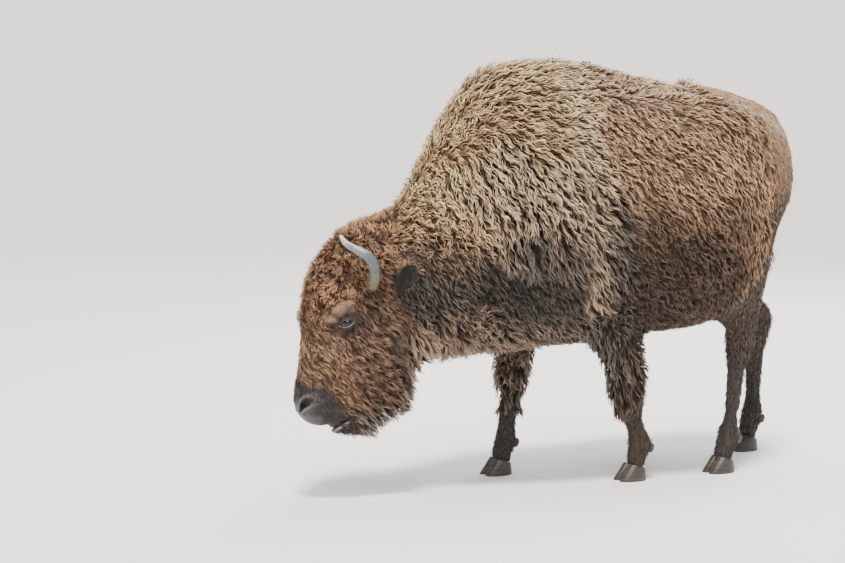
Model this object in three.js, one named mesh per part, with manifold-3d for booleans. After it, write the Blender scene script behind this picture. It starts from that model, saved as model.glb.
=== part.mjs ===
// A life-size American bison cow, grazing in mid-stride. Millimetres, +Z up.
// The animal faces -X, its left side is towards -Y, and its hooves stand on z = 0.
//
// The flesh and coat are one smooth form: a torso drawn from cross-sections, with rounded masses for the
// muscles, limbs and head blended into it. The form is meshed region by region, each region as finely as it
// needs, and the regions meet at thin flat cuts. Horns, eyes, ears, hooves and tail are separate pieces.
import * as THREE from "three";
import { mergeVertices } from "three/addons/utils/BufferGeometryUtils.js";
import Module from "manifold-3d";

const wasm = await Module();
wasm.setup();

// ---------------------------------------------------------------- driving dimensions
const GAP = 0.3; // clearance between neighbouring pieces
const EAR_GAP = 2; // clearance round an ear, which is set in the hair
const LEFT = -1; // sign of y on the animal's left
const RIGHT = 1;
const SIDES = [
  ["left", LEFT],
  ["right", RIGHT],
];

// Cross-sections of the torso and neck, from the neck behind the ears to the loins. Each is an egg shape:
// x, height of the top line, height of the bottom line, half width, height of the widest level,
// and how the flanks rise above that level (2 is an ellipse, less is a straighter slope to the spine).
const TORSO = [
  { x: -930, top: 1008, bottom: 640, half: 135, widest: 820, slope: 2.0 },
  { x: -850, top: 1080, bottom: 525, half: 168, widest: 820, slope: 1.8 },
  { x: -770, top: 1222, bottom: 466, half: 195, widest: 825, slope: 1.6 },
  { x: -690, top: 1368, bottom: 464, half: 220, widest: 830, slope: 1.5 },
  { x: -580, top: 1494, bottom: 502, half: 250, widest: 840, slope: 1.4 },
  { x: -430, top: 1534, bottom: 515, half: 278, widest: 845, slope: 1.35 },
  { x: -280, top: 1540, bottom: 492, half: 298, widest: 840, slope: 1.35 },
  { x: -120, top: 1517, bottom: 512, half: 318, widest: 835, slope: 1.45 },
  { x: 60, top: 1470, bottom: 538, half: 342, widest: 832, slope: 1.65 },
  { x: 220, top: 1440, bottom: 545, half: 356, widest: 840, slope: 1.85 },
  { x: 360, top: 1418, bottom: 600, half: 336, widest: 890, slope: 1.95 },
  { x: 470, top: 1398, bottom: 690, half: 292, widest: 980, slope: 2.0 },
  { x: 562, top: 1366, bottom: 850, half: 226, widest: 1090, slope: 2.1 },
];
const TORSO_END = 150; // rounding of the torso's two ends
const BELLY_FULLNESS = 2.2;

// Joints of each leg, top to bottom. The strides differ: left fore and right hind trail.
const LEGS = {
  foreleg_left: {
    side: LEFT,
    joints: {
      shoulder: [-400, 165, 900],
      elbow: [-152, 190, 690],
      knee: [-56, 172, 350],
      fetlock: [24, 164, 128],
    },
    parting: { x: [-280, 44], top: 552 },
  },
  foreleg_right: {
    side: RIGHT,
    joints: {
      shoulder: [-420, 165, 900],
      elbow: [-300, 190, 690],
      knee: [-324, 172, 372],
      fetlock: [-346, 166, 128],
    },
    parting: { x: [-440, -200], top: 552 },
  },
  hind_leg_left: {
    side: LEFT,
    joints: {
      hip: [500, 130, 1060],
      stifle: [398, 205, 720],
      hock: [434, 188, 492],
      fetlock: [398, 180, 134],
    },
    ham: [450, 188, 612],
    parting: { x: [300, 620], top: 655 },
  },
  hind_leg_right: {
    side: RIGHT,
    joints: {
      hip: [505, 130, 1060],
      stifle: [512, 195, 740],
      hock: [762, 178, 482],
      fetlock: [750, 176, 134],
    },
    ham: [688, 184, 622],
    parting: { x: [420, 860], top: 655 },
  },
};
const LEG_INNER = 62; // distance of the parting plane from the middle of the body
const LEG_OUTER = 420; // and of the space that a leg is looked for in
const JOINT_RISE = 45; // height of a leg's own parting above its knee or hock

// Rounded masses that fill the torso out: middle, radii, and lean forwards in degrees.
const SHOULDER = [[-360, 185, 880], [210, 104, 340], -12];
const BRISKET = [[-500, 0, 660], [190, 150, 152]];
const BELLY = [[180, 0, 812], [390, 366, 265]];
const HIP_BONE = [[430, 160, 1232], [100, 56, 76], 20];

// The head's own frame: along runs down the face from the poll, across to the animal's left, and out
// from the forehead.
const HEAD = { poll: [-1000, 42, 930], pitch: 72.5, turn: 17, roll: 8 };
const EYE = { along: 326, across: 128, out: -22, radius: 20 };
const BONNET = [[222, 0, 12], [205, 150, 150]];
const CROWN = [[92, 0, 6], [118, 142, 114]];
const NOSE = [[618, 0, -18], [76, 72, 78], -14];
const NOSE_PAD = [[616, 42, 8], [44, 34, 40]];
const BROW = [[262, 108, 6], [64, 36, 40], 22];
const EYE_SOCKET = [[326, 96, -24], [56, 38, 50]];
const CHEEK = [[366, 64, -120], [150, 74, 128], -10];
const HORN_BASE = [[200, 108, -70], [50, 44, 46]];
const LOWER_LIP = [[668, 0, -112], [42, 50, 36], 10];
const GUMS = [[530, 0, -112], [120, 72, 70]];
const CHIN_BEARD = [[616, 0, -182], [80, 46, 68], 24];
const THROAT_BEARD = [[478, 0, -248], [130, 76, 88], 12];
const MOUTH_SLIT = [[700, 0, -74], [62, 90, 9], -18];
const NOSTRIL = [[640, 40, 36], [24, 12, 18], 30];
const EYE_HOLLOW = [[EYE.along, EYE.across + 27, EYE.out], [44, 26, 30], 20];
const HORN_PATH = [
  [200, 92, -65],
  [173, 150, -65],
  [136, 194, -52],
  [102, 212, -21],
  [88, 204, 23],
  [74, 180, 66],
  [49, 148, 90],
];
const HORN_RADIUS = { root: 22, tip: 5, taper: 2.4 }; // it tapers late
const EAR = { root: [182, 108, -138], length: 192, width: 98, thickness: 20, cup: 20 };
const EAR_REACH = [-0.5, 0.83, -0.26]; // root to tip: outwards, up and back
const EAR_OPENING = [0.1, 0.32, 0.94]; // the way its hollow faces: outwards and forwards

const HOOF = { length: 112, width: 48, coronet: 60, slope: 0.3, split: 5, toe: 46, heel: 6, ahead: 44 };
const HOOF_DRAFT = 0.88; // width of a claw at its top, as a share of its width on the ground
const DEWCLAW = { back: 40, apart: 24, drop: 16, size: [12, 10, 17], lean: 0.5 };
const TAIL_PATH = [
  [672, 0, 1262],
  [742, 12, 1226],
  [768, 40, 1100],
  [756, 72, 960],
  [742, 92, 850],
];
const TUFT_PATH = [
  [742, 93, 846],
  [736, 98, 790],
  [728, 104, 720],
  [724, 106, 655],
];
const TAIL_RADIUS = { root: 32, tip: 20 };
const TUFT_RADIUS = { root: 22, middle: 22, tip: 8 };
const FACETS = { bar: 8, ear: 10, eye: 8, claw: 12, dewclaw: 6 };

// The lattice that each region is meshed on: where its lines start, then how many steps reach which value.
const TRUNK_LATTICE = {
  x: [-1180, [23, 900]],
  y: [-500, [13, 500]],
  z: [380, [15, 1620]],
};
const HEAD_LATTICE = {
  along: [-150, [8, 250], [5, 386], [4, 590]],
  across: [-230, [4, -85], [3, 85], [4, 230]],
  out: [-420, [6, -96], [4, 32], [4, 230]],
};
const MUZZLE_LATTICE = {
  along: [490, [9, 740]],
  across: [-140, [9, 140]],
  out: [-330, [6, -120], [10, 110]],
};
const LEG_CELL = 44;
const LEG_LEVELS = [30, [3, 140], [3, 300], [8, 720]];

// ---------------------------------------------------------------- finishes
const finish = (color, roughness) => new THREE.MeshStandardMaterial({ color, roughness, metalness: 0 });
const FINISH = {
  woolTan: finish(0xa98a68, 0.95),
  woolBrown: finish(0x6f5541, 0.95),
  rumpGrey: finish(0x6a594d, 0.9),
  headRusty: finish(0x70503a, 0.95),
  muzzle: finish(0x4a3c34, 0.8),
  darkLeg: finish(0x3c322c, 0.9),
  horn: finish(0x8f9392, 0.45),
  hoof: finish(0x2b2724, 0.5),
  eye: finish(0x120d0a, 0.08),
};

// ---------------------------------------------------------------- forms
// A form is a function of x, y, z: about the distance to a surface, below zero inside.

const V = (x, y, z) => new THREE.Vector3(x, y, z);
const { clamp, degToRad, lerp } = THREE.MathUtils;

// Several forms as one, with a fillet that starts where two of them are within reach of each other.
function blend(reach, ...forms) {
  return (x, y, z) => {
    let d = forms[0](x, y, z);
    for (let i = 1; i < forms.length; i++) {
      const e = forms[i](x, y, z);
      const h = Math.max(reach - Math.abs(d - e), 0) / reach;
      d = Math.min(d, e) - (h * h * reach) / 4;
    }
    return d;
  };
}

// A form with another taken out of it.
function carve(reach, form, hole) {
  const left = blend(reach, (x, y, z) => -form(x, y, z), hole);
  return (x, y, z) => -left(x, y, z);
}

// An ellipsoid, tipped about the y axis by lean degrees.
function mass([cx, cy, cz], [rx, ry, rz], lean = 0) {
  const [c, s] = [Math.cos(degToRad(lean)), Math.sin(degToRad(lean))];
  return (x, y, z) => {
    const u = (c * (x - cx) - s * (z - cz)) / rx;
    const v = (y - cy) / ry;
    const w = (s * (x - cx) + c * (z - cz)) / rz;
    const k = Math.hypot(u, v, w);
    return (k * (k - 1)) / Math.max(Math.hypot(u / rx, v / ry, w / rz), 1e-6);
  };
}

// A limb that tapers from radius ra at a to rb at b. Its width across y is its depth times slim.
function limb([ax, ay, az], ra, [bx, by, bz], rb, slim = 1) {
  const [ux, uy, uz] = [bx - ax, (by - ay) / slim, bz - az];
  const long = ux * ux + uy * uy + uz * uz;
  return (x, y, z) => {
    const [px, py, pz] = [x - ax, (y - ay) / slim, z - az];
    const t = clamp((px * ux + py * uy + pz * uz) / long, 0, 1);
    return (Math.hypot(px - t * ux, py - t * uy, pz - t * uz) - (ra + (rb - ra) * t)) * slim;
  };
}

// One value of the torso's cross-sections at x, on a smooth curve through the stations.
function alongTorso(key) {
  const last = TORSO.length - 1;
  const tilt = (from, to) => (TORSO[to][key] - TORSO[from][key]) / (TORSO[to].x - TORSO[from].x);
  return (x) => {
    const found = TORSO.findIndex((station) => station.x >= x);
    const i = clamp(found - 1, 0, last - 1);
    const span = TORSO[i + 1].x - TORSO[i].x;
    const t = (x - TORSO[i].x) / span;
    const leave = tilt(Math.max(i - 1, 0), i + 1) * span;
    const arrive = tilt(i, Math.min(i + 2, last)) * span;
    const [from, to] = [TORSO[i][key], TORSO[i + 1][key]];
    const rise = from - to;
    return from + t * (leave + t * (-3 * rise - 2 * leave - arrive + t * (2 * rise + leave + arrive)));
  };
}

// The torso, with rounded ends beyond its first and last cross-sections.
function torsoForm() {
  const [top, bottom, half, widest, slope] = ["top", "bottom", "half", "widest", "slope"].map(alongTorso);
  const [first, last] = [TORSO[0].x, TORSO[TORSO.length - 1].x];
  return (x, y, z) => {
    const sx = clamp(x, first, last);
    const [middle, w] = [widest(sx), half(sx)];
    const above = z > middle;
    const h = above ? top(sx) - middle : middle - bottom(sx);
    const n = above ? slope(sx) : BELLY_FULLNESS;
    const k = Math.sqrt((y / w) ** 2 + Math.abs((z - middle) / h) ** n);
    const d = (k - 1) * Math.min(w, h);
    const past = Math.abs(x - sx);
    return past ? Math.hypot(Math.max(d + TORSO_END, 0), past) - TORSO_END : d;
  };
}

// A form and its mirror image on the other side of the body or head.
const inPair = (form) => (x, y, z) => form(x, Math.abs(y), z);

const onSide = (side, [x, y, z]) => [x, y * side, z];
const shifted = ([x, y, z], dx, dy, dz) => [x + dx, y + dy, z + dz];

// Shoulder, forearm in its long-haired chaps, knee, cannon and pastern.
function forelegForm({ side, joints }) {
  const [shoulder, elbow, knee, fetlock] = Object.values(joints).map((p) => onSide(side, p));
  return blend(
    45,
    limb(shoulder, 150, elbow, 118, 0.72),
    limb(elbow, 110, shifted(knee, -2, 0, 60), 80, 0.8),
    mass(shifted(knee, 20, 0, 24), [72, 58, 138], 8),
    limb(shifted(knee, 0, 0, 10), 62, shifted(knee, 0, 0, -50), 52, 0.9),
    limb(knee, 46, fetlock, 34, 0.9),
    pastern(fetlock),
  );
}

// Thigh, buttock, gaskin, hock with its point, cannon and pastern.
function hindLegForm({ side, joints, ham }) {
  const [hip, stifle, hock, fetlock] = Object.values(joints).map((p) => onSide(side, p));
  return blend(
    50,
    limb(hip, 142, stifle, 116, 0.8),
    limb(shifted(hip, 24, 0, -60), 88, onSide(side, ham), 56, 0.85),
    limb(stifle, 104, shifted(hock, 8, 0, 40), 50, 0.78),
    limb(shifted(hock, 32, 0, 44), 28, shifted(hock, 6, 0, -40), 38, 0.85),
    limb(hock, 46, fetlock, 30, 0.85),
    pastern(fetlock),
  );
}

// From the fetlock, sloping forwards into the hoof.
function pastern(fetlock) {
  return limb(shifted(fetlock, 0, 0, 4), 37, shifted(fetlock, -26, 0, -70), 36, 1.15);
}

// ---------------------------------------------------------------- the head's frame
const headFrame = new THREE.Matrix4();
{
  const [turn, pitch] = [degToRad(HEAD.turn), degToRad(HEAD.pitch)];
  const facing = V(-Math.cos(turn), Math.sin(turn), 0);
  const along = facing.clone().multiplyScalar(Math.cos(pitch)).setZ(-Math.sin(pitch));
  const out = facing.clone().multiplyScalar(Math.sin(pitch)).setZ(Math.cos(pitch));
  const across = V(0, 0, 0).crossVectors(out, along);
  // Roll the head about the way it faces, so that its left side is the higher one.
  for (const axis of [along, across, out]) axis.applyAxisAngle(facing, degToRad(HEAD.roll));
  headFrame.makeBasis(along, across, out).setPosition(...HEAD.poll);
}
const toHead = headFrame.clone().invert();
const headPoint = (along, across, out) => V(along, across, out).applyMatrix4(headFrame);

function headDirection(along, across, out) {
  return V(along, across, out).transformDirection(headFrame).toArray();
}

// A form given in the head's frame, as one of the body's frame.
function inHead(form) {
  const m = toHead.elements;
  return (x, y, z) => {
    const a = m[0] * x + m[4] * y + m[8] * z + m[12];
    const c = m[1] * x + m[5] * y + m[9] * z + m[13];
    const o = m[2] * x + m[6] * y + m[10] * z + m[14];
    return form(a, c, o);
  };
}

// Skull with its woolly bonnet, brows, cheeks, nose and upper lip.
function upperHeadForm() {
  return blend(
    40,
    mass(...BONNET),
    mass(...CROWN),
    limb([300, 0, 12], 116, [560, 0, 0], 84, 0.84),
    limb([330, 0, -60], 118, [560, 0, -56], 74, 0.84),
    mass(...NOSE),
    inPair(mass(...BROW)),
    inPair(mass(...EYE_SOCKET)),
    inPair(mass(...CHEEK)),
    inPair(mass(...HORN_BASE)),
    inPair(mass(...NOSE_PAD)),
  );
}

// Mandible, lower lip, beard and the long hair of the throat.
function jawForm() {
  return blend(
    40,
    limb([340, 0, -196], 116, [612, 0, -138], 60, 0.76),
    mass(...GUMS),
    mass(...LOWER_LIP),
    mass(...CHIN_BEARD),
    mass(...THROAT_BEARD),
  );
}

function headForm() {
  const flesh = carve(24, blend(30, upperHeadForm(), jawForm()), inPair(mass(...EYE_HOLLOW)));
  return inHead(carve(8, carve(8, flesh, mass(...MOUTH_SLIT)), inPair(mass(...NOSTRIL))));
}

// ---------------------------------------------------------------- the whole body
// Each cut is a point and a direction, which points to the head's end of the body or up the face.
const HEAD_CUT = [headPoint(0, 0, -72).toArray(), headDirection(0.594, 0, 0.804)];
const NECK_CUT = [[-600, 0, 950], [-0.985, 0, -0.17]];
const CHEST_CUT = [[-70, 0, 950], [-1, 0, 0.06]];
const BARREL_CUT = [[430, 0, 950], [-1, 0, -0.1]];
const MOUTH_CUT = [headPoint(640, 0, -92).toArray(), headDirection(-0.307, 0, 0.952)];
const MUZZLE_CUT = [headPoint(548, 0, 0).toArray(), headDirection(-1, 0, -0.22)];

const bodyForm = blend(
  70,
  blend(
    140,
    torsoForm(),
    inPair(mass(...SHOULDER)),
    mass(...BRISKET),
    mass(...BELLY),
    inPair(mass(...HIP_BONE)),
  ),
  forelegForm(LEGS.foreleg_left),
  forelegForm(LEGS.foreleg_right),
  hindLegForm(LEGS.hind_leg_left),
  hindLegForm(LEGS.hind_leg_right),
  headForm(),
);

// ---------------------------------------------------------------- meshing
// Draws a closed mesh over the part of a form that lies within a lattice: one vertex for each cell that the
// surface crosses, moved onto the surface, and one quad for each lattice edge that it crosses.
function meshForm(form, lattice) {
  const [xs, ys, zs] = Object.values(lattice).map(latticeLines);
  const [nx, ny, nz] = [xs.length, ys.length, zs.length];
  const lo = V(xs[1], ys[1], zs[1]);
  const hi = V(xs[nx - 2], ys[ny - 2], zs[nz - 2]);
  const outOfBox = (x, y, z) => Math.max(lo.x - x, x - hi.x, lo.y - y, y - hi.y, lo.z - z, z - hi.z);
  const inBox = (x, y, z) => Math.max(form(x, y, z), outOfBox(x, y, z) + 1);
  const at = (i, j, k) => i + nx * (j + ny * k);
  const value = new Float32Array(nx * ny * nz);
  for (let k = 0; k < nz; k++)
    for (let j = 0; j < ny; j++)
      for (let i = 0; i < nx; i++) value[at(i, j, k)] = inBox(xs[i], ys[j], zs[k]);

  const position = [];
  const vertexOf = new Map();
  for (let k = 0; k < nz - 1; k++)
    for (let j = 0; j < ny - 1; j++)
      for (let i = 0; i < nx - 1; i++) {
        const p = V(0, 0, 0);
        let crossings = 0;
        for (const [a, b] of CELL_EDGES) {
          const va = value[at(i + a.x, j + a.y, k + a.z)];
          const vb = value[at(i + b.x, j + b.y, k + b.z)];
          if (va < 0 === vb < 0) continue;
          p.add(a.clone().lerp(b, va / (va - vb)));
          crossings++;
        }
        if (!crossings) continue;
        const cell = V(xs[i + 1] - xs[i], ys[j + 1] - ys[j], zs[k + 1] - zs[k]);
        p.divideScalar(crossings).multiply(cell).add(V(xs[i], ys[j], zs[k]));
        settle(inBox, p, Math.min(...cell.toArray()) / 2);
        vertexOf.set(at(i, j, k), position.length);
        position.push(p);
      }

  const index = [];
  const steps = [1, nx, nx * ny];
  for (let k = 1; k < nz - 1; k++)
    for (let j = 1; j < ny - 1; j++)
      for (let i = 1; i < nx - 1; i++)
        steps.forEach((step, n) => {
          const here = at(i, j, k);
          const inside = value[here] < 0;
          if (inside === value[here + step] < 0) return;
          const u = steps[(n + 1) % 3];
          const v = steps[(n + 2) % 3];
          const quad = [here, here - u, here - u - v, here - v].map((c) => vertexOf.get(c));
          if (!inside) quad.reverse();
          const [a, b, c, d] = quad;
          const short = position[a].distanceTo(position[c]) < position[b].distanceTo(position[d]);
          index.push(...(short ? [a, b, c, a, c, d] : [b, c, d, b, d, a]));
        });
  return new THREE.BufferGeometry().setFromPoints(position).setIndex(index);
}

// The values of a lattice's lines, with two more of them at each end.
function latticeLines([start, ...stretches]) {
  const lines = [start];
  for (const [steps, end] of stretches) {
    const from = lines[lines.length - 1];
    for (let n = 1; n <= steps; n++) lines.push(from + ((end - from) * n) / steps);
  }
  const [first, second] = lines;
  const [beforeLast, last] = lines.slice(-2);
  const [d0, d1] = [second - first, last - beforeLast];
  return [first - 2 * d0, first - d0, ...lines, last + d1, last + 2 * d1];
}

const CORNERS = [0, 1, 2, 3, 4, 5, 6, 7].map((c) => V(c & 1, (c >> 1) & 1, c >> 2));
const CELL_EDGES = CORNERS.flatMap((a) =>
  CORNERS.filter((b) => a.distanceTo(b) === 1 && b.lengthSq() > a.lengthSq()).map((b) => [a, b]),
);

// Moves p onto the surface, by no more than reach.
function settle(form, p, reach) {
  const e = 1;
  const from = p.clone();
  for (let n = 0; n < 4; n++) {
    const slope = V(
      form(p.x + e, p.y, p.z) - form(p.x - e, p.y, p.z),
      form(p.x, p.y + e, p.z) - form(p.x, p.y - e, p.z),
      form(p.x, p.y, p.z + e) - form(p.x, p.y, p.z - e),
    ).divideScalar(2 * e);
    p.addScaledVector(slope, -form(p.x, p.y, p.z) / Math.max(slope.lengthSq(), 0.1));
  }
  const moved = p.clone().sub(from).clampLength(0, reach);
  p.copy(from).add(moved);
}

// ---------------------------------------------------------------- solids
function solid(geometry) {
  const bare = geometry.clone();
  ["normal", "uv"].forEach((name) => bare.deleteAttribute(name));
  const merged = mergeVertices(bare, 1e-3);
  const vertProperties = new Float32Array(merged.attributes.position.array);
  const triVerts = new Uint32Array(merged.index.array);
  return new wasm.Manifold(new wasm.Mesh({ numProp: 3, vertProperties, triVerts }));
}

// A mirrored shape with its faces turned to point out again.
function flipped(geometry) {
  const turned = geometry.clone();
  const order = turned.index.array;
  for (let i = 0; i < order.length; i += 3) [order[i + 1], order[i + 2]] = [order[i + 2], order[i + 1]];
  return turned;
}

function block(lo, hi) {
  const size = hi.clone().sub(lo);
  const middle = lo.clone().add(hi).divideScalar(2);
  return solid(new THREE.BoxGeometry(...size.toArray()).translate(...middle.toArray()));
}

// The half of space on the side of a point that direction points away from, less half the gap.
function halfSpace(point, direction) {
  const far = 4000;
  const turn = new THREE.Quaternion().setFromUnitVectors(V(1, 0, 0), V(...direction).normalize());
  const half = new THREE.BoxGeometry(far, 2 * far, 2 * far).translate(-(far + GAP) / 2, 0, 0);
  return solid(half.applyQuaternion(turn).translate(...point));
}

// The two sides of a cut through point: the side that direction points away from, and the other.
function cutAt(point, direction) {
  return [halfSpace(point, direction), halfSpace(point, direction.map((v) => -v))];
}

// The body meshed within a lattice, which a frame places.
function meshBody(lattice, frame = new THREE.Matrix4()) {
  const p = V(0, 0, 0);
  const local = (x, y, z) => {
    p.set(x, y, z).applyMatrix4(frame);
    return bodyForm(p.x, p.y, p.z);
  };
  return solid(meshForm(local, lattice).applyMatrix4(frame));
}

// One region of a meshed body: what it shares with each of keep, less each of remove, in one piece.
function region(meshed, keep, remove = []) {
  let made = meshed;
  for (const k of keep) made = made.intersect(k);
  for (const r of remove) made = made.subtract(r);
  return made.decompose().sort((a, b) => b.volume() - a.volume())[0];
}

// ---------------------------------------------------------------- pieces that are not flesh
// A round bar along a curve, closed at both ends: radius is a function of 0..1 along it. It can be grown
// outwards all over, its ends too.
function bar(points, radius, rings, grow) {
  const path = new THREE.CatmullRomCurve3(points.map((p) => V(...p)));
  const frames = path.computeFrenetFrames(rings, false);
  const shape = new THREE.CylinderGeometry(1, 1, 1, FACETS.bar, rings);
  const at = shape.attributes.position;
  const longer = [-grow, ...Array(rings - 1).fill(0), grow];
  for (let i = 0; i < at.count; i++) {
    const ring = Math.round((at.getY(i) + 0.5) * rings);
    const r = radius(ring / rings) + grow;
    const p = path.getPointAt(ring / rings);
    p.addScaledVector(frames.tangents[ring], longer[ring]);
    p.addScaledVector(frames.binormals[ring], at.getX(i) * r);
    p.addScaledVector(frames.normals[ring], at.getZ(i) * r);
    at.setXYZ(i, p.x, p.y, p.z);
  }
  return solid(shape);
}

function horn(side, grow = 0) {
  const points = HORN_PATH.map(([a, c, o]) => headPoint(a, c * side * LEFT, o).toArray());
  return bar(points, (t) => lerp(HORN_RADIUS.root, HORN_RADIUS.tip, t ** HORN_RADIUS.taper), 10, grow);
}

function tail(grow = 0) {
  return bar(TAIL_PATH, (t) => lerp(TAIL_RADIUS.root, TAIL_RADIUS.tip, t), 8, grow);
}

// The switch of the tail, which swells below its root and then thins out.
function tailTuft() {
  const { root, middle, tip } = TUFT_RADIUS;
  return bar(TUFT_PATH, (t) => lerp(root, tip, t) + middle * Math.sin(Math.PI * t ** 0.8), 8, 0);
}

function eye(side, grow = 0) {
  const ball = new THREE.SphereGeometry(EYE.radius + grow, FACETS.eye, FACETS.eye - 2);
  const centre = headPoint(EYE.along, EYE.across * side * LEFT, EYE.out);
  return solid(ball.translate(...centre.toArray()));
}

// A cupped leaf with its hollow turned forwards, its root in the head.
function ear(side, grow = 0) {
  const shape = new THREE.SphereGeometry(1, FACETS.ear, FACETS.ear - 2);
  const at = shape.attributes.position;
  for (let i = 0; i < at.count; i++) {
    const x = at.getX(i);
    const t = (at.getY(i) + 1) / 2; // root to tip
    const broad = (EAR.width / 2) * (0.5 + 0.62 * Math.sin(Math.PI * (t * 0.85 + 0.05)));
    const cup = EAR.cup * (x * x - 0.5) * Math.sin(Math.PI * t);
    const thick = EAR.thickness / 2 + grow;
    at.setXYZ(i, x * (broad + grow), t * EAR.length + grow * at.getY(i), at.getZ(i) * thick + cup);
  }
  const reach = V(...EAR_REACH).normalize();
  const breadth = V(0, 0, 0).crossVectors(reach, V(...EAR_OPENING)).normalize();
  const hollow = V(0, 0, 0).crossVectors(breadth, reach);
  const place = new THREE.Matrix4().makeBasis(breadth, reach, hollow);
  place.setPosition(...EAR.root);
  shape.applyMatrix4(place);
  if (side === RIGHT) shape.scale(1, -1, 1);
  shape.applyMatrix4(headFrame);
  return solid(side === RIGHT ? flipped(shape) : shape);
}

// One claw of a cloven hoof: a flat sole, a sloping toe, a flat inner wall, and a top that slopes down to
// the heel. It stands below the pastern whose foot is at x, y.
function claw(x, y, side) {
  const shape = new THREE.CylinderGeometry(0.5, 0.5, 1, FACETS.claw, 1).rotateX(Math.PI / 2);
  const at = shape.attributes.position;
  for (let i = 0; i < at.count; i++) {
    const top = at.getZ(i) > 0;
    const front = top ? HOOF.toe - HOOF.length / 2 : -HOOF.length / 2;
    const heel = HOOF.length / 2 - (top ? HOOF.heel : 0);
    const along = lerp(front, heel, at.getX(i) + 0.5);
    const blunt = clamp((at.getY(i) + 0.5) * 1.2 - 0.2, 0, 1);
    const out = HOOF.split / 2 + blunt * HOOF.width * (top ? HOOF_DRAFT : 1);
    at.setXYZ(i, x + along, y + side * out, top ? coronet(along) : 0);
  }
  return solid(side < 0 ? flipped(shape) : shape);
}

// Height of the hoof's upper edge, at a distance behind the middle of the sole.
const coronet = (along) => HOOF.coronet - HOOF.slope * along;

function dewclaw(x, y, z, grow = 0) {
  const shape = new THREE.SphereGeometry(1, FACETS.dewclaw, FACETS.dewclaw - 2);
  shape.scale(...DEWCLAW.size.map((r) => r + grow)).rotateY(DEWCLAW.lean);
  return solid(shape.translate(x, y, z));
}

// ---------------------------------------------------------------- assembly
const bison = new THREE.Group();
bison.name = "bison";

function add(name, made, material) {
  const { vertProperties, triVerts } = made.getMesh();
  const geometry = new THREE.BufferGeometry();
  geometry.setAttribute("position", new THREE.BufferAttribute(new Float32Array(vertProperties), 3));
  geometry.setIndex(new THREE.BufferAttribute(new Uint32Array(triVerts), 1));
  geometry.computeVertexNormals();
  const mesh = new THREE.Mesh(geometry, material);
  mesh.name = name;
  bison.add(mesh);
}

const [behindHeadCut, beyondHeadCut] = cutAt(...HEAD_CUT);
const [behindNeckCut, beyondNeckCut] = cutAt(...NECK_CUT);
const [behindChestCut, beyondChestCut] = cutAt(...CHEST_CUT);
const [behindBarrelCut, beyondBarrelCut] = cutAt(...BARREL_CUT);
const [belowMouth, aboveMouth] = cutAt(...MOUTH_CUT);
const [muzzleSide, skullSide] = cutAt(...MUZZLE_CUT);

// The block of space that holds a leg below the trunk, down to the ground.
function legSpace({ side, parting }, grow) {
  const y = [LEG_INNER - grow, LEG_OUTER + grow].map((v) => v * side).sort((a, b) => a - b);
  const [x0, x1] = parting.x;
  return [V(x0 - grow, y[0], 0), V(x1 + grow, y[1], parting.top + grow)];
}
const legSpaces = Object.values(LEGS).map((leg) => block(...legSpace(leg, GAP)));

// Head, muzzle and jaw, with sockets for what is set in them.
const sockets = SIDES.flatMap(([, side]) => [horn(side, GAP), eye(side, GAP), ear(side, EAR_GAP)]);
const skull = meshBody(HEAD_LATTICE, headFrame);
const face = meshBody(MUZZLE_LATTICE, headFrame);
add("head", region(skull, [beyondHeadCut, aboveMouth, skullSide], sockets), FINISH.headRusty);
add("muzzle", region(face, [aboveMouth, muzzleSide]), FINISH.muzzle);
add("jaw", region(skull, [beyondHeadCut, belowMouth, skullSide]), FINISH.headRusty);
add("chin", region(face, [belowMouth, muzzleSide]), FINISH.muzzle);
for (const [label, side] of SIDES) {
  add("horn_" + label, horn(side), FINISH.horn);
  add("eye_" + label, eye(side), FINISH.eye);
  add("ear_" + label, ear(side), FINISH.darkLeg);
}

// Neck, trunk and tail.
const trunk = meshBody(TRUNK_LATTICE);
add("neck", region(trunk, [behindHeadCut, beyondNeckCut], [...legSpaces, ...sockets]), FINISH.woolBrown);
add("chest", region(trunk, [behindNeckCut, beyondChestCut], legSpaces), FINISH.woolTan);
add("barrel", region(trunk, [behindChestCut, beyondBarrelCut], legSpaces), FINISH.woolBrown);
add("rump", region(trunk, [behindBarrelCut], [...legSpaces, tail(GAP)]), FINISH.rumpGrey);
add("tail", tail(), FINISH.rumpGrey);
add("tail_tuft", tailTuft(), FINISH.darkLeg);

// Legs, each parted at the knee or hock, on cloven hooves with dewclaws.
for (const [name, leg] of Object.entries(LEGS)) {
  const [lo, hi] = legSpace(leg, 0);
  const [, , middle, fetlock] = Object.values(leg.joints).map((p) => onSide(leg.side, p));
  const [x, y, z] = fetlock;
  const evenly = (from, to) => [from, [Math.round((to - from) / LEG_CELL), to]];
  const lattice = {
    x: evenly(lo.x - LEG_CELL, hi.x + LEG_CELL),
    y: evenly(lo.y, hi.y),
    z: LEG_LEVELS,
  };
  const meshed = meshBody(lattice);
  const [belowJoint, aboveJoint] = cutAt([0, 0, middle[2] + JOINT_RISE], [0, 0, 1]);
  const sole = x - HOOF.ahead;
  const clearOfHoof = halfSpace([sole, y, HOOF.coronet], [-HOOF.slope, 0, -1]);
  const dewclaws = SIDES.map(([, s]) => [x + DEWCLAW.back, y + DEWCLAW.apart * s, z - DEWCLAW.drop]);
  const pits = dewclaws.map((d) => dewclaw(...d, GAP));
  add(name + "_upper", region(meshed, [block(lo, hi), aboveJoint]), FINISH.darkLeg);
  add(name + "_lower", region(meshed, [belowJoint, clearOfHoof], pits), FINISH.darkLeg);
  SIDES.forEach(([label, s], i) => {
    add(`${name}_claw_${label}`, claw(sole, y, s), FINISH.hoof);
    add(`${name}_dewclaw_${label}`, dewclaw(...dewclaws[i]), FINISH.hoof);
  });
}

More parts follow.
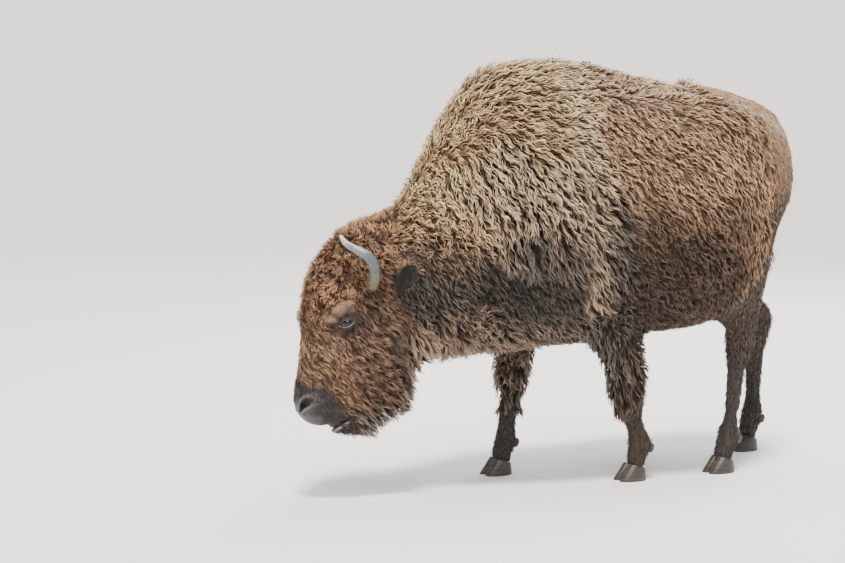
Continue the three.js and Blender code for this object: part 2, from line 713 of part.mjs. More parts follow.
// The middle of the whole animal stands over the origin.
const middle = new THREE.Box3().setFromObject(bison).getCenter(V(0, 0, 0));
bison.position.set(-middle.x, -middle.y, 0);

export default bison;
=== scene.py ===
# A life-size American bison cow, grazing. Metres, +Z up; the animal faces -X and its left side is towards -Y.
#
# One skin replaces the flesh and lies inside it by the depth of the coat. Locks of hair, each a small closed
# mesh, grow from the skin along the lie of the coat and fill the space out to the solids' outline.
import math

import bmesh
import bpy
import numpy as np
from mathutils import Matrix, Vector
from mathutils.bvhtree import BVHTree
from mathutils.kdtree import KDTree


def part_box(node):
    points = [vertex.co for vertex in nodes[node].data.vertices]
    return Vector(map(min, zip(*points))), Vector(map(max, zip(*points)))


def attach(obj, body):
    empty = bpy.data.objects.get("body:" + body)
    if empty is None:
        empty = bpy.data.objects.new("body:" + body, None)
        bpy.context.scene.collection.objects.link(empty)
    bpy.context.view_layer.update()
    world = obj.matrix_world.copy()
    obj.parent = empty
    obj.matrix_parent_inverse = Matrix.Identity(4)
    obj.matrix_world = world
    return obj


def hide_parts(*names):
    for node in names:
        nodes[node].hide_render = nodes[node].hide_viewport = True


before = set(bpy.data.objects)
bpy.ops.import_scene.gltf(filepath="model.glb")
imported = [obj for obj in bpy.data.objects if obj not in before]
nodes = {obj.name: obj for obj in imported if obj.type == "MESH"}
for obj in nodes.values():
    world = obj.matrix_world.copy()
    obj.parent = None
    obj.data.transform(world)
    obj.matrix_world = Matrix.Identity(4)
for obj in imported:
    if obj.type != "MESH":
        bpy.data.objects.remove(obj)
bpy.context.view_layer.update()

LEGS = ("foreleg_left", "foreleg_right", "hind_leg_left", "hind_leg_right")
SIDES = (("left", 1), ("right", -1))  # and the sign of the side across the head


# ---------------------------------------------------------------- camera
CAMERA_AT = Vector((-5.081, -8.480, 1.80))
CAMERA_AIM = Vector((-0.368, 0.368, 0.700))
CAMERA_LENS = 117.2


def link(name, data):
    thing = bpy.data.objects.new(name, data)
    bpy.context.scene.collection.objects.link(thing)
    return thing


def aim(thing, way):
    """Turns a camera or a lamp to face along way."""
    thing.rotation_euler = way.to_track_quat("-Z", "Y").to_euler()


def add_camera():
    data = bpy.data.cameras.new("camera")
    data.lens = CAMERA_LENS
    data.clip_end = 100
    camera = link("camera", data)
    camera.location = CAMERA_AT
    aim(camera, CAMERA_AIM - CAMERA_AT)
    bpy.context.scene.camera = camera


add_camera()


# ---------------------------------------------------------------- the head's own frame
# Along the face from the poll, across to the animal's left, and out from the forehead.
HEAD_TURN = math.radians(17)
HEAD_PITCH = math.radians(72.5)
HEAD_ROLL = math.radians(8)
EYE_AT = Vector((0.326, 0.128, -0.022))


def middle_of(node):
    """The middle of the box round a CAD node."""
    low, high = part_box(node)
    return (low + high) / 2


def find_head_frame():
    """From the head's frame to the world's, so that the left eye is where the CAD has it."""
    facing = Vector((-math.cos(HEAD_TURN), math.sin(HEAD_TURN), 0))
    along = facing * math.cos(HEAD_PITCH) - Vector((0, 0, math.sin(HEAD_PITCH)))
    out = facing * math.sin(HEAD_PITCH) + Vector((0, 0, math.cos(HEAD_PITCH)))
    roll = Matrix.Rotation(HEAD_ROLL, 3, facing)
    turned = roll @ Matrix((along, out.cross(along), out)).transposed()
    poll = middle_of("eye_left") - turned @ EYE_AT
    return Matrix.Translation(poll) @ turned.to_4x4()


HEAD = find_head_frame()
HEAD_AXES = np.array(HEAD.to_3x3())
HEAD_POLL = np.array(HEAD.to_translation())


def to_head(points):
    """Points of the world in the head's frame."""
    return (points - HEAD_POLL) @ HEAD_AXES


def from_head(points):
    """And the other way."""
    return np.asarray(points) @ HEAD_AXES.T + HEAD_POLL


# ---------------------------------------------------------------- small tools
def smoothstep(low, high, value):
    t = np.clip((value - low) / (high - low), 0, 1)
    return t * t * (3 - 2 * t)


def unit(vectors):
    return vectors / np.maximum(np.linalg.norm(vectors, axis=-1, keepdims=True), 1e-9)


def linear(red, green, blue):
    """A colour given as the eye reads it, 0 to 255, as the linear values that a shader takes."""
    c = np.array((red, green, blue), float) / 255
    return np.where(c <= 0.04045, c / 12.92, ((c + 0.055) / 1.055) ** 2.4)


def bell(value, middle, width):
    """1 where the value is at the middle, and soon 0 beyond the width."""
    return np.exp(-((value - middle) / width) ** 2)


def read(items, key, width, kind=np.float32):
    """One value of every item, a row each."""
    values = np.empty(len(items) * width, kind)
    items.foreach_get(key, values)
    return values.reshape(-1, width)


def write(items, key, values):
    items.foreach_set(key, np.ascontiguousarray(values, np.float32).ravel())


def give(layers, name, kind, key, values):
    """A new attribute of a mesh, with a value for every point."""
    write(layers.new(name, kind, "POINT").data, key, values)


def points_of(mesh):
    return read(mesh.vertices, "co", 3).astype(float)


def set_points(mesh, at):
    """Moves a mesh's points."""
    write(mesh.vertices, "co", at)
    mesh.update()


def normals_of(mesh):
    return read(mesh.vertex_normals, "vector", 3).astype(float)


def faces_of(mesh):
    return [tuple(face.vertices) for face in mesh.polygons]


def apply_modifiers(thing):
    """Makes the object's modifiers real in its mesh."""
    seen = thing.evaluated_get(bpy.context.evaluated_depsgraph_get())
    made = bpy.data.meshes.new_from_object(seen)
    thing.modifiers.clear()
    thing.data = made


def neighbours_mean(values, pairs):
    """The mean of the values at each point's neighbours."""
    count = np.maximum(np.bincount(pairs.ravel(), minlength=len(values)), 1)
    mean = np.empty_like(values)
    for axis in range(values.shape[1]):
        ends = np.concatenate((values[pairs[:, 1], axis], values[pairs[:, 0], axis]))
        mean[:, axis] = np.bincount(pairs.T.ravel(), ends, len(values)) / count
    return mean


def relax(at, pairs, rounds, weight):
    """Evens out a surface without shrinking it: rounds of moving to the neighbours' middle and back."""
    for step in (0.5, -0.52) * rounds:
        at = at + (neighbours_mean(at, pairs) - at) * (step * weight)[:, None]
    return at


def sink(mesh, at, pairs, depth):
    """Moves the surface inwards by depth, evened as it goes, so that its ridges do not fold."""
    deep = np.clip(depth / DEEP_COAT, 0, 1)[:, None]
    for _ in range(SINK_STEPS):
        set_points(mesh, at)
        inwards = -normals_of(mesh)
        for _ in range(WAY_ROUNDS):
            inwards = unit(0.5 * inwards + 0.5 * neighbours_mean(inwards, pairs))
        at = at + inwards * (depth / SINK_STEPS)[:, None]
        for _ in range(PLACE_ROUNDS):
            at = at + (neighbours_mean(at, pairs) - at) * 0.5 * deep
        at = relax(at, pairs, 1, np.full(len(at), 0.5))
    set_points(mesh, at)


def by_line(at, line):
    """How far points are from a line through a few places."""
    line = np.array(line)
    nearest = np.full(len(at), 9.0)
    for start, end in zip(line, line[1:]):
        way = end - start
        share = np.clip((at - start) @ way / (way @ way), 0, 1)
        nearest = np.minimum(nearest, np.linalg.norm(at - start - share[:, None] * way, axis=1))
    return nearest


# ---------------------------------------------------------------- the skin
FLESH = ["head", "muzzle", "jaw", "chin", "ear_left", "ear_right", "neck", "chest", "barrel", "rump", "tail",
         "tail_tuft"] + [f"{leg}_{part}" for leg in LEGS for part in ("upper", "lower")]
OVERLAP = 0.001  # how far each solid is grown, so that neighbours meet
VOXEL = 0.0075
HORN_PLUG = (0.200, 0.092, -0.062)  # the root of a horn, left in the skin so that no socket shows
PLUG_LENGTH = 0.05


def merged_copy(bm, node):
    """Adds a CAD node, grown a little, to a bmesh. Of a horn it adds the root alone."""
    part = bmesh.new()
    part.from_mesh(nodes[node].data)
    bmesh.ops.remove_doubles(part, verts=part.verts, dist=1e-5)
    part.normal_update()
    for vert in part.verts:
        vert.co += vert.normal * OVERLAP
    if node.startswith("horn"):
        sign = 1 if node == "horn_left" else -1
        along, across, out = HORN_PLUG
        root = HEAD @ Vector((along, across * sign, out))
        side = HEAD.to_3x3() @ Vector((0, sign, 0))
        every = part.verts[:] + part.edges[:] + part.faces[:]
        bmesh.ops.bisect_plane(part, geom=every, plane_co=root + side * PLUG_LENGTH, plane_no=side,
                               clear_outer=True)
        bmesh.ops.holes_fill(part, edges=part.edges)
    made = bpy.data.meshes.new("part")
    part.to_mesh(made)
    part.free()
    bm.from_mesh(made)
    bpy.data.meshes.remove(made)


def whole_form():
    """The flesh nodes joined and meshed again as one closed surface, out to the tips of the coat."""
    bm = bmesh.new()
    for node in FLESH + ["horn_left", "horn_right", "eye_left", "eye_right"]:
        merged_copy(bm, node)
    mesh = bpy.data.meshes.new("skin")
    bm.to_mesh(mesh)
    bm.free()
    skin = link("skin", mesh)
    remesh = skin.modifiers.new("remesh", "REMESH")
    remesh.mode = "VOXEL"
    remesh.voxel_size = VOXEL
    apply_modifiers(skin)
    return skin


# ---------------------------------------------------------------- the kinds of coat
# Each kind of hair: the depth of the coat, the length and width of a lock, how far it curls aside, and the
# width of the ropes that locks gather into, all in mm; how far it strays from its lie, in degrees; how many
# locks grow on a square metre; and the colours of their tips and roots, the roots dark partly as the hair's
# own colour and partly as painted shade deep in the coat.
NUMBERS = ("depth", "long", "wide", "curl", "rope", "stray", "dense")
KINDS = {
    "crest": (34, 56, 5.8, 3.5, 12, 14, 12000, (255, 228, 184), (176, 132, 94)),
    "hump": (36, 54, 6.0, 4.6, 14, 18, 12000, (250, 216, 170), (130, 94, 62)),
    "shoulder": (36, 60, 6.2, 4.2, 16, 14, 11600, (244, 212, 176), (62, 42, 29)),
    "apron": (34, 70, 6.2, 3.6, 18, 12, 11200, (116, 104, 94), (20, 17, 14)),
    "nape": (36, 46, 5.6, 6.5, 12, 34, 14000, (255, 224, 170), (136, 98, 64)),
    "neck": (20, 38, 4.6, 1.6, 9, 16, 14000, (126, 118, 110), (24, 21, 18)),
    "fringe": (42, 80, 5.6, 4.5, 24, 22, 11800, (210, 178, 152), (42, 32, 25)),
    "curls": (34, 44, 5.2, 6.5, 14, 34, 14000, (216, 184, 154), (60, 45, 35)),
    "back": (28, 46, 5.6, 5.0, 14, 32, 12500, (250, 216, 178), (134, 98, 72)),
    "flank": (20, 42, 5.2, 3.4, 12, 16, 13200, (236, 196, 156), (96, 66, 46)),
    "side": (20, 36, 5.0, 4.2, 11, 22, 13500, (146, 124, 106), (24, 18, 14)),
    "belly": (22, 42, 5.2, 3.0, 12, 26, 8400, (104, 92, 84), (24, 19, 17)),
    "haunch": (22, 42, 5.2, 3.4, 12, 16, 13000, (226, 186, 150), (66, 46, 34)),
    "croup": (5, 24, 3.8, 0.0, 9, 12, 8000, (232, 190, 150), (130, 98, 74)),
    "thigh": (7, 26, 4.2, 0.3, 8, 12, 9600, (140, 118, 100), (40, 32, 27)),
    "chaps": (28, 62, 5.2, 3.0, 16, 15, 12400, (150, 136, 124), (30, 25, 22)),
    "shank": (5, 22, 3.6, 0.4, 7, 12, 11000, (104, 92, 84), (38, 32, 29)),
    "bonnet": (32, 30, 2.8, 4.6, 12, 50, 42000, (250, 191, 146), (60, 39, 27)),
    "brow": (4, 13, 2.2, 0.0, 4, 10, 42000, (250, 216, 182), (150, 116, 88)),
    "face": (11, 25, 2.3, 0.9, 7, 18, 50000, (240, 189, 150), (47, 32, 23)),
    "cheek": (17, 34, 2.6, 1.3, 9, 20, 41000, (190, 151, 123), (26, 19, 15)),
    "socket": (1, 7, 1.5, 0.0, 4, 8, 6000, (70, 56, 48), (34, 27, 24)),
    "bare": (0, 6, 1.6, 0.0, 4, 8, 0, (70, 66, 68), (48, 45, 48)),
    "chin": (8, 28, 2.6, 0.8, 6, 16, 24000, (112, 104, 102), (28, 24, 23)),
    "snout": (5, 16, 2.2, 0.4, 5, 14, 34000, (120, 110, 108), (36, 32, 33)),
    "jowl": (20, 40, 2.8, 1.6, 11, 20, 34000, (148, 128, 114), (21, 17, 15)),
    "tuft": (22, 34, 2.9, 3.0, 10, 36, 34000, (216, 180, 150), (40, 30, 23)),
    "beard": (32, 58, 3.2, 2.0, 12, 15, 20500, (166, 146, 132), (26, 20, 17)),
    "ear": (4, 18, 2.6, 0.5, 5, 18, 26000, (160, 130, 106), (62, 48, 40)),
    "dock": (5, 20, 3.6, 0.3, 7, 10, 12000, (140, 118, 100), (66, 54, 46)),
    "switch": (14, 90, 4.8, 1.0, 10, 8, 14000, (80, 68, 60), (28, 23, 21)),
}

# Where each kind grows on the body: kind, place on the left side, lie of the hair, and reach. Mirrored.
BODY_SPOTS = [
    ("crest", (-0.12, 0.00, 1.54), (1.0, -0.05, -0.05), 1.1),
    ("hump", (-0.36, -0.08, 1.45), (0.9, -0.30, 0.15), 1.0),
    ("nape", (-0.46, -0.05, 1.30), (0.8, -0.50, 0.30), 0.8),
    ("hump", (-0.20, -0.20, 1.32), (0.85, -0.2, -0.55), 1.1),
    ("hump", (0.00, -0.13, 1.42), (1.0, -0.2, -0.35), 1.0),
    ("shoulder", (-0.35, -0.20, 1.15), (0.45, -0.2, -0.9), 1.1),
    ("shoulder", (-0.12, -0.28, 1.08), (0.60, -0.1, -0.85), 1.2),
    ("shoulder", (-0.50, -0.15, 1.08), (0.35, -0.2, -0.9), 0.9),
    ("apron", (-0.26, -0.29, 0.90), (0.30, -0.1, -1.0), 0.9),
    ("apron", (-0.05, -0.32, 0.84), (0.62, -0.1, -0.8), 1.0),
    ("apron", (0.05, -0.31, 0.98), (0.75, -0.1, -0.75), 0.8),
    ("nape", (-0.66, -0.06, 1.10), (0.6, -0.7, -0.1), 0.9),
    ("nape", (-0.58, -0.15, 0.98), (0.5, -0.5, -0.6), 0.8),
    ("neck", (-0.52, -0.20, 0.74), (0.60, -0.1, -0.7), 1.0),
    ("neck", (-0.28, -0.27, 0.68), (0.60, -0.1, -0.7), 1.0),
    ("neck", (-0.66, -0.12, 0.72), (0.60, -0.1, -0.7), 0.7),
    ("fringe", (-0.52, -0.06, 0.50), (0.50, -0.1, -0.9), 0.9),
    ("fringe", (-0.30, -0.05, 0.48), (0.50, -0.1, -0.9), 0.8),
    ("fringe", (-0.66, -0.05, 0.52), (0.45, -0.1, -0.9), 0.8),
    ("fringe", (-0.58, -0.14, 0.58), (0.30, -0.1, -1.0), 0.6),
    ("curls", (-0.45, -0.20, 0.67), (0.40, -0.1, -0.8), 0.6),
    ("curls", (-0.40, -0.20, 0.60), (0.40, -0.1, -0.8), 0.6),
    ("belly", (-0.05, -0.06, 0.50), (0.90, -0.1, -0.4), 0.9),
    ("belly", (0.25, -0.06, 0.54), (1.0, 0.0, -0.1), 1.1),
    ("belly", (0.18, -0.24, 0.62), (0.80, 0.1, -0.6), 0.9),
    ("belly", (0.16, -0.33, 0.74), (0.50, -0.1, -0.9), 0.8),
    ("back", (0.18, 0.00, 1.47), (1.0, -0.1, -0.1), 0.9),
    ("back", (0.36, 0.00, 1.44), (1.0, -0.1, -0.1), 0.9),
    ("flank", (0.14, -0.24, 1.26), (0.6, -0.1, -0.9), 1.0),
    ("flank", (0.34, -0.28, 1.22), (0.7, -0.1, -0.8), 1.1),
    ("flank", (0.52, -0.28, 1.16), (0.55, -0.1, -0.9), 1.0),
    ("flank", (0.30, -0.36, 1.02), (0.45, -0.1, -0.9), 1.1),
    ("side", (0.30, -0.38, 0.84), (0.50, -0.1, -0.9), 1.1),
    ("side", (0.46, -0.36, 0.76), (0.30, -0.1, -1.0), 0.9),
    ("flank", (0.66, -0.26, 1.14), (0.15, 0.0, -1.0), 0.9),
    ("haunch", (0.66, -0.29, 0.98), (0.15, 0.0, -1.0), 0.8),
    ("haunch", (0.62, -0.32, 0.84), (-0.15, 0.0, -1.0), 0.8),
    ("croup", (0.70, -0.06, 1.38), (0.9, -0.1, -0.5), 1.0),
    ("croup", (0.84, -0.12, 1.16), (0.30, 0.0, -1.0), 1.0),
    ("croup", (0.88, -0.05, 1.00), (0.10, 0.0, -1.0), 1.0),
    ("thigh", (0.80, -0.18, 0.85), (0.05, 0.0, -1.0), 1.0),
    ("thigh", (0.66, -0.10, 0.72), (0.05, 0.0, -1.0), 0.9),
]

# Where each kind grows on the head, in the head's own frame.
HEAD_SPOTS = [
    ("bonnet", (0.00, 0.00, 0.05), (-0.4, 0.4, 0.2), 1.0),
    ("bonnet", (0.10, 0.06, 0.12), (0.5, 0.5, 0.2), 1.0),
    ("bonnet", (0.20, 0.05, 0.15), (0.8, 0.4, 0.0), 1.0),
    ("bonnet", (0.30, 0.04, 0.13), (0.9, 0.3, 0.0), 0.9),
    ("bonnet", (0.12, 0.13, 0.00), (0.4, 0.2, -0.7), 0.8),
    ("bonnet", (0.20, 0.14, 0.04), (0.7, 0.2, -0.5), 0.7),
    ("bonnet", (0.26, 0.10, 0.10), (0.8, 0.3, -0.3), 0.8),
    ("cheek", (0.20, 0.14, -0.11), (0.3, 0.1, -0.9), 0.8),
    ("brow", (0.338, 0.122, 0.050), (-0.7, 0.2, -0.2), 0.24),
    ("brow", (0.300, 0.142, 0.042), (-0.6, 0.2, -0.6), 0.24),
    ("brow", (0.276, 0.150, 0.022), (-0.3, 0.2, -0.9), 0.24),
    ("brow", (0.262, 0.152, -0.006), (0.0, 0.2, -1.0), 0.22),
    ("socket", (0.326, 0.150, -0.022), (0.2, 0.1, -1.0), 0.44),
    ("socket", (0.300, 0.150, -0.022), (0.2, 0.1, -1.0), 0.24),
    ("socket", (0.360, 0.130, 0.000), (0.3, 0.1, -1.0), 0.24),
    ("socket", (0.345, 0.140, -0.055), (0.3, 0.1, -1.0), 0.22),
    # A dark spot under the eye: painted shadow beneath it.
    ("jowl", (0.386, 0.127, -0.030), (0.4, 0.1, -1.0), 0.20),
    ("face", (0.38, 0.04, 0.11), (0.7, 0.6, -0.1), 1.0),
    ("face", (0.48, 0.04, 0.09), (0.7, 0.6, -0.3), 1.0),
    ("face", (0.41, 0.11, 0.03), (0.5, 0.2, -0.8), 0.8),
    ("face", (0.50, 0.09, 0.00), (0.5, 0.2, -0.9), 0.8),
    ("face", (0.54, 0.08, -0.08), (0.5, 0.1, -0.9), 0.8),
    ("cheek", (0.36, 0.14, -0.09), (0.3, 0.1, -1.0), 0.9),
    ("cheek", (0.29, 0.13, -0.16), (0.2, 0.1, -1.0), 0.9),
    ("cheek", (0.44, 0.12, -0.14), (0.45, 0.0, -0.9), 1.0),
    ("jowl", (0.35, 0.11, -0.22), (0.5, -0.2, -0.9), 0.7),
    ("jowl", (0.42, 0.10, -0.22), (0.5, -0.2, -0.9), 0.6),
    ("tuft", (0.49, 0.08, -0.26), (0.5, -0.2, -0.9), 0.55),
    ("tuft", (0.44, 0.07, -0.29), (0.5, -0.2, -0.9), 0.5),
    ("cheek", (0.50, 0.09, -0.22), (0.5, -0.2, -0.9), 0.9),
    ("bare", (0.640, 0.05, 0.03), (0.6, 0.2, -0.7), 0.55),
    ("bare", (0.680, 0.00, 0.00), (0.6, 0.2, -0.7), 0.62),
    ("bare", (0.670, 0.05, -0.024), (0.5, 0.1, -0.9), 0.30),
    ("snout", (0.594, 0.088, -0.006), (0.5, 0.1, -0.9), 0.44),
    ("snout", (0.608, 0.086, -0.040), (0.5, 0.1, -0.9), 0.52),
    ("snout", (0.634, 0.074, -0.060), (0.5, 0.1, -0.9), 0.46),
    ("snout", (0.585, 0.000, 0.075), (0.7, 0.5, -0.2), 0.40),
    ("snout", (0.590, 0.050, 0.060), (0.7, 0.5, -0.2), 0.36),
    ("bare", (0.694, 0.030, -0.098), (0.3, 0.1, -0.9), 0.30),
    ("chin", (0.672, 0.05, -0.130), (0.4, 0.1, -0.9), 0.5),
    ("chin", (0.700, 0.00, -0.125), (0.4, 0.1, -0.9), 0.4),
    ("beard", (0.64, 0.04, -0.20), (0.5, 0.1, -0.9), 0.8),
    ("beard", (0.56, 0.05, -0.28), (0.5, 0.1, -0.9), 1.0),
    ("beard", (0.47, 0.05, -0.32), (0.4, 0.1, -0.9), 1.0),
    ("fringe", (0.36, 0.05, -0.31), (0.5, 0.1, -0.9), 0.9),
    ("ear", (0.150, 0.160, -0.155), (-0.5, 0.83, -0.26), 0.5),
    ("ear", (0.110, 0.225, -0.175), (-0.5, 0.83, -0.26), 0.8),
]

# Along the legs: kind, and how far down the leg it grows, from 0 at the trunk to 1 at the hooves.
FORELEG_COAT = [("chaps", 0.02), ("chaps", 0.25), ("chaps", 0.47),
                ("shank", 0.62), ("shank", 0.78), ("shank", 0.95)]
HIND_LEG_COAT = [("thigh", 0.0), ("thigh", 0.22), ("shank", 0.5), ("shank", 0.75), ("shank", 0.95)]

# The curls on the far side's foreleg alone.
UNPAIRED_SPOTS = [("curls", (-0.150, 0.110, 0.480), (0.2, 0.1, -1.0), 1.0),
                  ("curls", (-0.140, 0.100, 0.410), (0.2, 0.1, -1.0), 0.8)]

CAPE = ("crest", "hump", "shoulder", "apron")  # the pale wool of the forequarters
WOOL = ("back", "flank", "side")  # and the brown wool behind it
# Cream painted as a highlight where the sun falls on the wool: the hip, the upper flank and the cape's edge.
CREAM_HIGHLIGHT = linear(248, 222, 184)
# A painted highlight along the edge of the flank's wool, where it stands over the smooth hindquarter.
FLANK_RIM_HIGHLIGHT = linear(214, 168, 116)
# Dark brown for patches on the head and a streak on the flank, and a painted shadow behind the edge of the
# flank's wool.
DARK_BROWN_AND_SHADOW = linear(66, 50, 40)
NECK_DARK = linear(84, 76, 70)
# Painted shade on the low side of the flank, away from the sun above.
FLANK_LOW_SHADE = linear(112, 84, 64)
SHOULDER_PALE = linear(236, 204, 172)

# Paler and darker streaks on the left and right alike, the cream ones a painted highlight where the sun
# lights the
# hip and the upper flank: colour, strength, half width, and places along each.
STREAKS = (
    (CREAM_HIGHLIGHT, 0.70, 0.026,
     ((0.600, -0.190, 1.362), (0.697, -0.200, 1.325), (0.790, -0.185, 1.280), (0.859, -0.160, 1.225))),
    (CREAM_HIGHLIGHT, 0.30, 0.030, ((0.330, -0.210, 1.330), (0.434, -0.241, 1.270), (0.520, -0.279, 1.190))),
    (DARK_BROWN_AND_SHADOW, 0.55, 0.055, ((0.215, -0.330, 1.060), (0.226, -0.351, 0.927), (0.250, -0.360, 0.800))),
    (SHOULDER_PALE, 0.90, 0.044, ((-0.060, -0.310, 1.040), (-0.050, -0.320, 0.880), (-0.040, -0.300, 0.680))),
)


def leg_spots(leg):
    """Spots down a leg: in line with its upper part, and further down on the way to the foot."""
    upper, lower = middle_of(leg + "_upper"), middle_of(leg + "_lower")
    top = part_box(leg + "_upper")[1].z
    foot = middle_of(leg + "_claw_left")
    spots = []
    for kind, down in FORELEG_COAT if leg.startswith("fore") else HIND_LEG_COAT:
        z = top * (1 - down)
        x, y = upper.xy if z >= lower.z else lower.xy.lerp(foot.xy, (lower.z - z) / lower.z)
        spots.append((kind, (x, y, z), (0.05, 0, -1), 0.75))
    return spots


def tail_spots():
    root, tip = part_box("tail")
    spots = [("dock", ((root.x + tip.x) / 2, 0.03, tip.z - 0.05), (0.2, 0.1, -1), 0.5),
             ("dock", (tip.x - 0.01, tip.y - 0.06, (root.z + tip.z) / 2), (0.0, 0.1, -1), 0.5)]
    low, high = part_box("tail_tuft")
    x, y, _ = middle_of("tail_tuft")
    for share in (0.1, 0.6):
        spots.append(("switch", (x, y, high.z + (low.z - high.z) * share), (-0.05, 0.03, -1), 0.45))
    return spots


def spread_spots():
    """Every spot on the body, both sides: kind, place, lie and reach."""
    spots = []
    for kind, at, lie, reach in BODY_SPOTS:
        for side in (1, -1):
            spots.append((kind, (at[0], at[1] * side, at[2]), (lie[0], lie[1] * side, lie[2]), reach))
    for kind, at, lie, reach in HEAD_SPOTS:
        for side in (1, -1):
            place = from_head((at[0], at[1] * side, at[2]))
            turned = HEAD_AXES @ np.array((lie[0], lie[1] * side, lie[2]))
            spots.append((kind, place, turned, reach))
    for leg in LEGS:
        spots += leg_spots(leg)
    return spots + UNPAIRED_SPOTS + tail_spots()


SPOTS = spread_spots()
SHARPNESS = 7  # how soon one spot's coat gives way to the next
BLEND = 4  # and how soon its colour does, off the head
HEAD_END = -0.62  # the head is in front of this x
WAVES = 7  # sines that make up a smooth random value
WAVES_PEAK = 3.2  # about the most that they come to together


def waves(at, size, seed):
    """A smooth random value from -1 to 1 that changes over about size."""
    draw = np.random.default_rng(seed)
    total = np.zeros(len(at))
    for _ in range(WAVES):
        way = unit(draw.normal(size=3)) * 2 * math.pi / size * draw.uniform(0.6, 1.5)
        total += np.sin(at @ way + draw.uniform(0, 2 * math.pi))
    return np.clip(total / WAVES_PEAK, -1, 1)


def cape_edge(z):
    """How far back the pale wool of the shoulder reaches at height z."""
    return np.interp(z, (0.70, 0.86, 1.00, 1.14, 1.28, 1.42, 1.50),
                     (0.125, 0.108, 0.080, 0.040, 0.014, 0.020, 0.09))


def wool_edge(z):
    """How far back the wool of the flank reaches at height z, before the smooth hair of the hindquarter."""
    return np.interp(z, (0.60, 0.65, 0.71, 0.80, 0.92, 1.04, 1.22, 1.31, 1.37, 1.42),
                     (0.52, 0.556, 0.60, 0.676, 0.725, 0.748, 0.753, 0.72, 0.60, 0.50))


def near(at, place, reach):
    """1 at a place, falling to 0 at reach from it."""
    return smoothstep(reach, 0, np.linalg.norm(at - np.asarray(place), axis=1))


def both_sides(head):
    """Points in the head's frame, all brought to its left side."""
    return head * (1, 0, 1) + np.abs(head) * (0, 1, 0)


# The ear, in the head's frame.
EAR_ROOT = np.array((0.182, 0.108, -0.138))
EAR_REACH = unit(np.array((-0.5, 0.83, -0.26)))
EAR_OPENING = np.array((0.1, 0.32, 0.94))
EAR_MIDDLE = (0.11, 0.215, -0.172)
EAR_LENGTH = 0.192
EAR_WIDTH = 0.098
EAR_PALE = linear(206, 160, 126)
# What grows on the parts of the ear, beside the kind "ear".
EAR_RIM = {"tip": EAR_PALE, "root": EAR_PALE / 3, "long": 36, "dense": 90000, "stray": 24, "depth": 4}
EAR_BACK = {"tip": EAR_PALE, "root": EAR_PALE / 5, "long": 34, "dense": 46000, "wide": 2.2}
EAR_HOLLOW = {"tip": linear(52, 45, 42), "root": linear(12, 10, 10), "depth": 5, "dense": 12000}


def ear_place(head):
    """Points on the ear: their share of its length and half breadth, how far in its hollow, and outwards."""
    breadth = unit(np.cross(EAR_REACH, EAR_OPENING))
    hollow = np.cross(breadth, EAR_REACH)
    from_root = head - EAR_ROOT
    along = from_root @ EAR_REACH / EAR_LENGTH
    inside = np.clip(along, 0.01, 0.99)
    leaf = EAR_WIDTH / 2 * (0.5 + 0.62 * np.sin(math.pi * (0.85 * inside + 0.05)))
    half = leaf * np.sqrt(1 - (2 * inside - 1) ** 2)
    sideways = from_root @ breadth
    outwards = np.sign(sideways)[:, None] * breadth + 0.6 * EAR_REACH
    return along, np.abs(sideways) / half, from_root @ hollow, outwards


def mix_in(coat, share, **values):
    """Brings a share of other values into the coat."""
    for key, value in values.items():
        part = share[:, None] if coat[key].ndim == 2 else share
        coat[key] = coat[key] * (1 - part) + value * part


def in_front(at):
    """Where the head and the ears are."""
    return at[:, 0] < -0.5


def dress_ears(coat, at):
    """Nearly bare dark hollows, with a pale fringe round the rim."""
    head = both_sides(to_head(at))
    along, breadth, hollow, outwards = ear_place(head)
    on_ear = (along > 0.16) & (along < 1.08) & (breadth < 1.4) & (np.abs(hollow) < 0.028) & in_front(at)
    rim = on_ear * np.maximum(smoothstep(0.74, 0.86, breadth), smoothstep(0.86, 0.93, along)) * (along > 0.30)
    inner = on_ear * (1 - rim) * smoothstep(-0.004, 0.004, hollow + 0.010 * (1 - breadth ** 2))
    behind = on_ear * (1 - rim) * (1 - inner) * smoothstep(0.34, 0.50, along)
    mix_in(coat, near(head, (0.170, 0.150, -0.135), 0.050) * in_front(at), long=22)
    mix_in(coat, on_ear * smoothstep(0.16, 0.34, along), **dict(zip(NUMBERS, KINDS["ear"])))
    mix_in(coat, rim, **EAR_RIM)
    mix_in(coat, behind, **EAR_BACK)
    outwards[:, 1] *= np.where(to_head(at)[:, 1] < 0, -1, 1)
    mix_in(coat, 0.9 * np.maximum(rim, behind), lie=unit(outwards) @ HEAD_AXES.T)
    mix_in(coat, inner, **EAR_HOLLOW)


def cape_foot(x):
    """How low the pale wool of the forequarters reaches at x."""
    return np.interp(x, (-0.69, -0.62, -0.56, -0.46, -0.33, -0.19, -0.03, 0.08),
                     (0.964, 0.930, 0.912, 0.859, 0.834, 0.785, 0.724, 0.700))


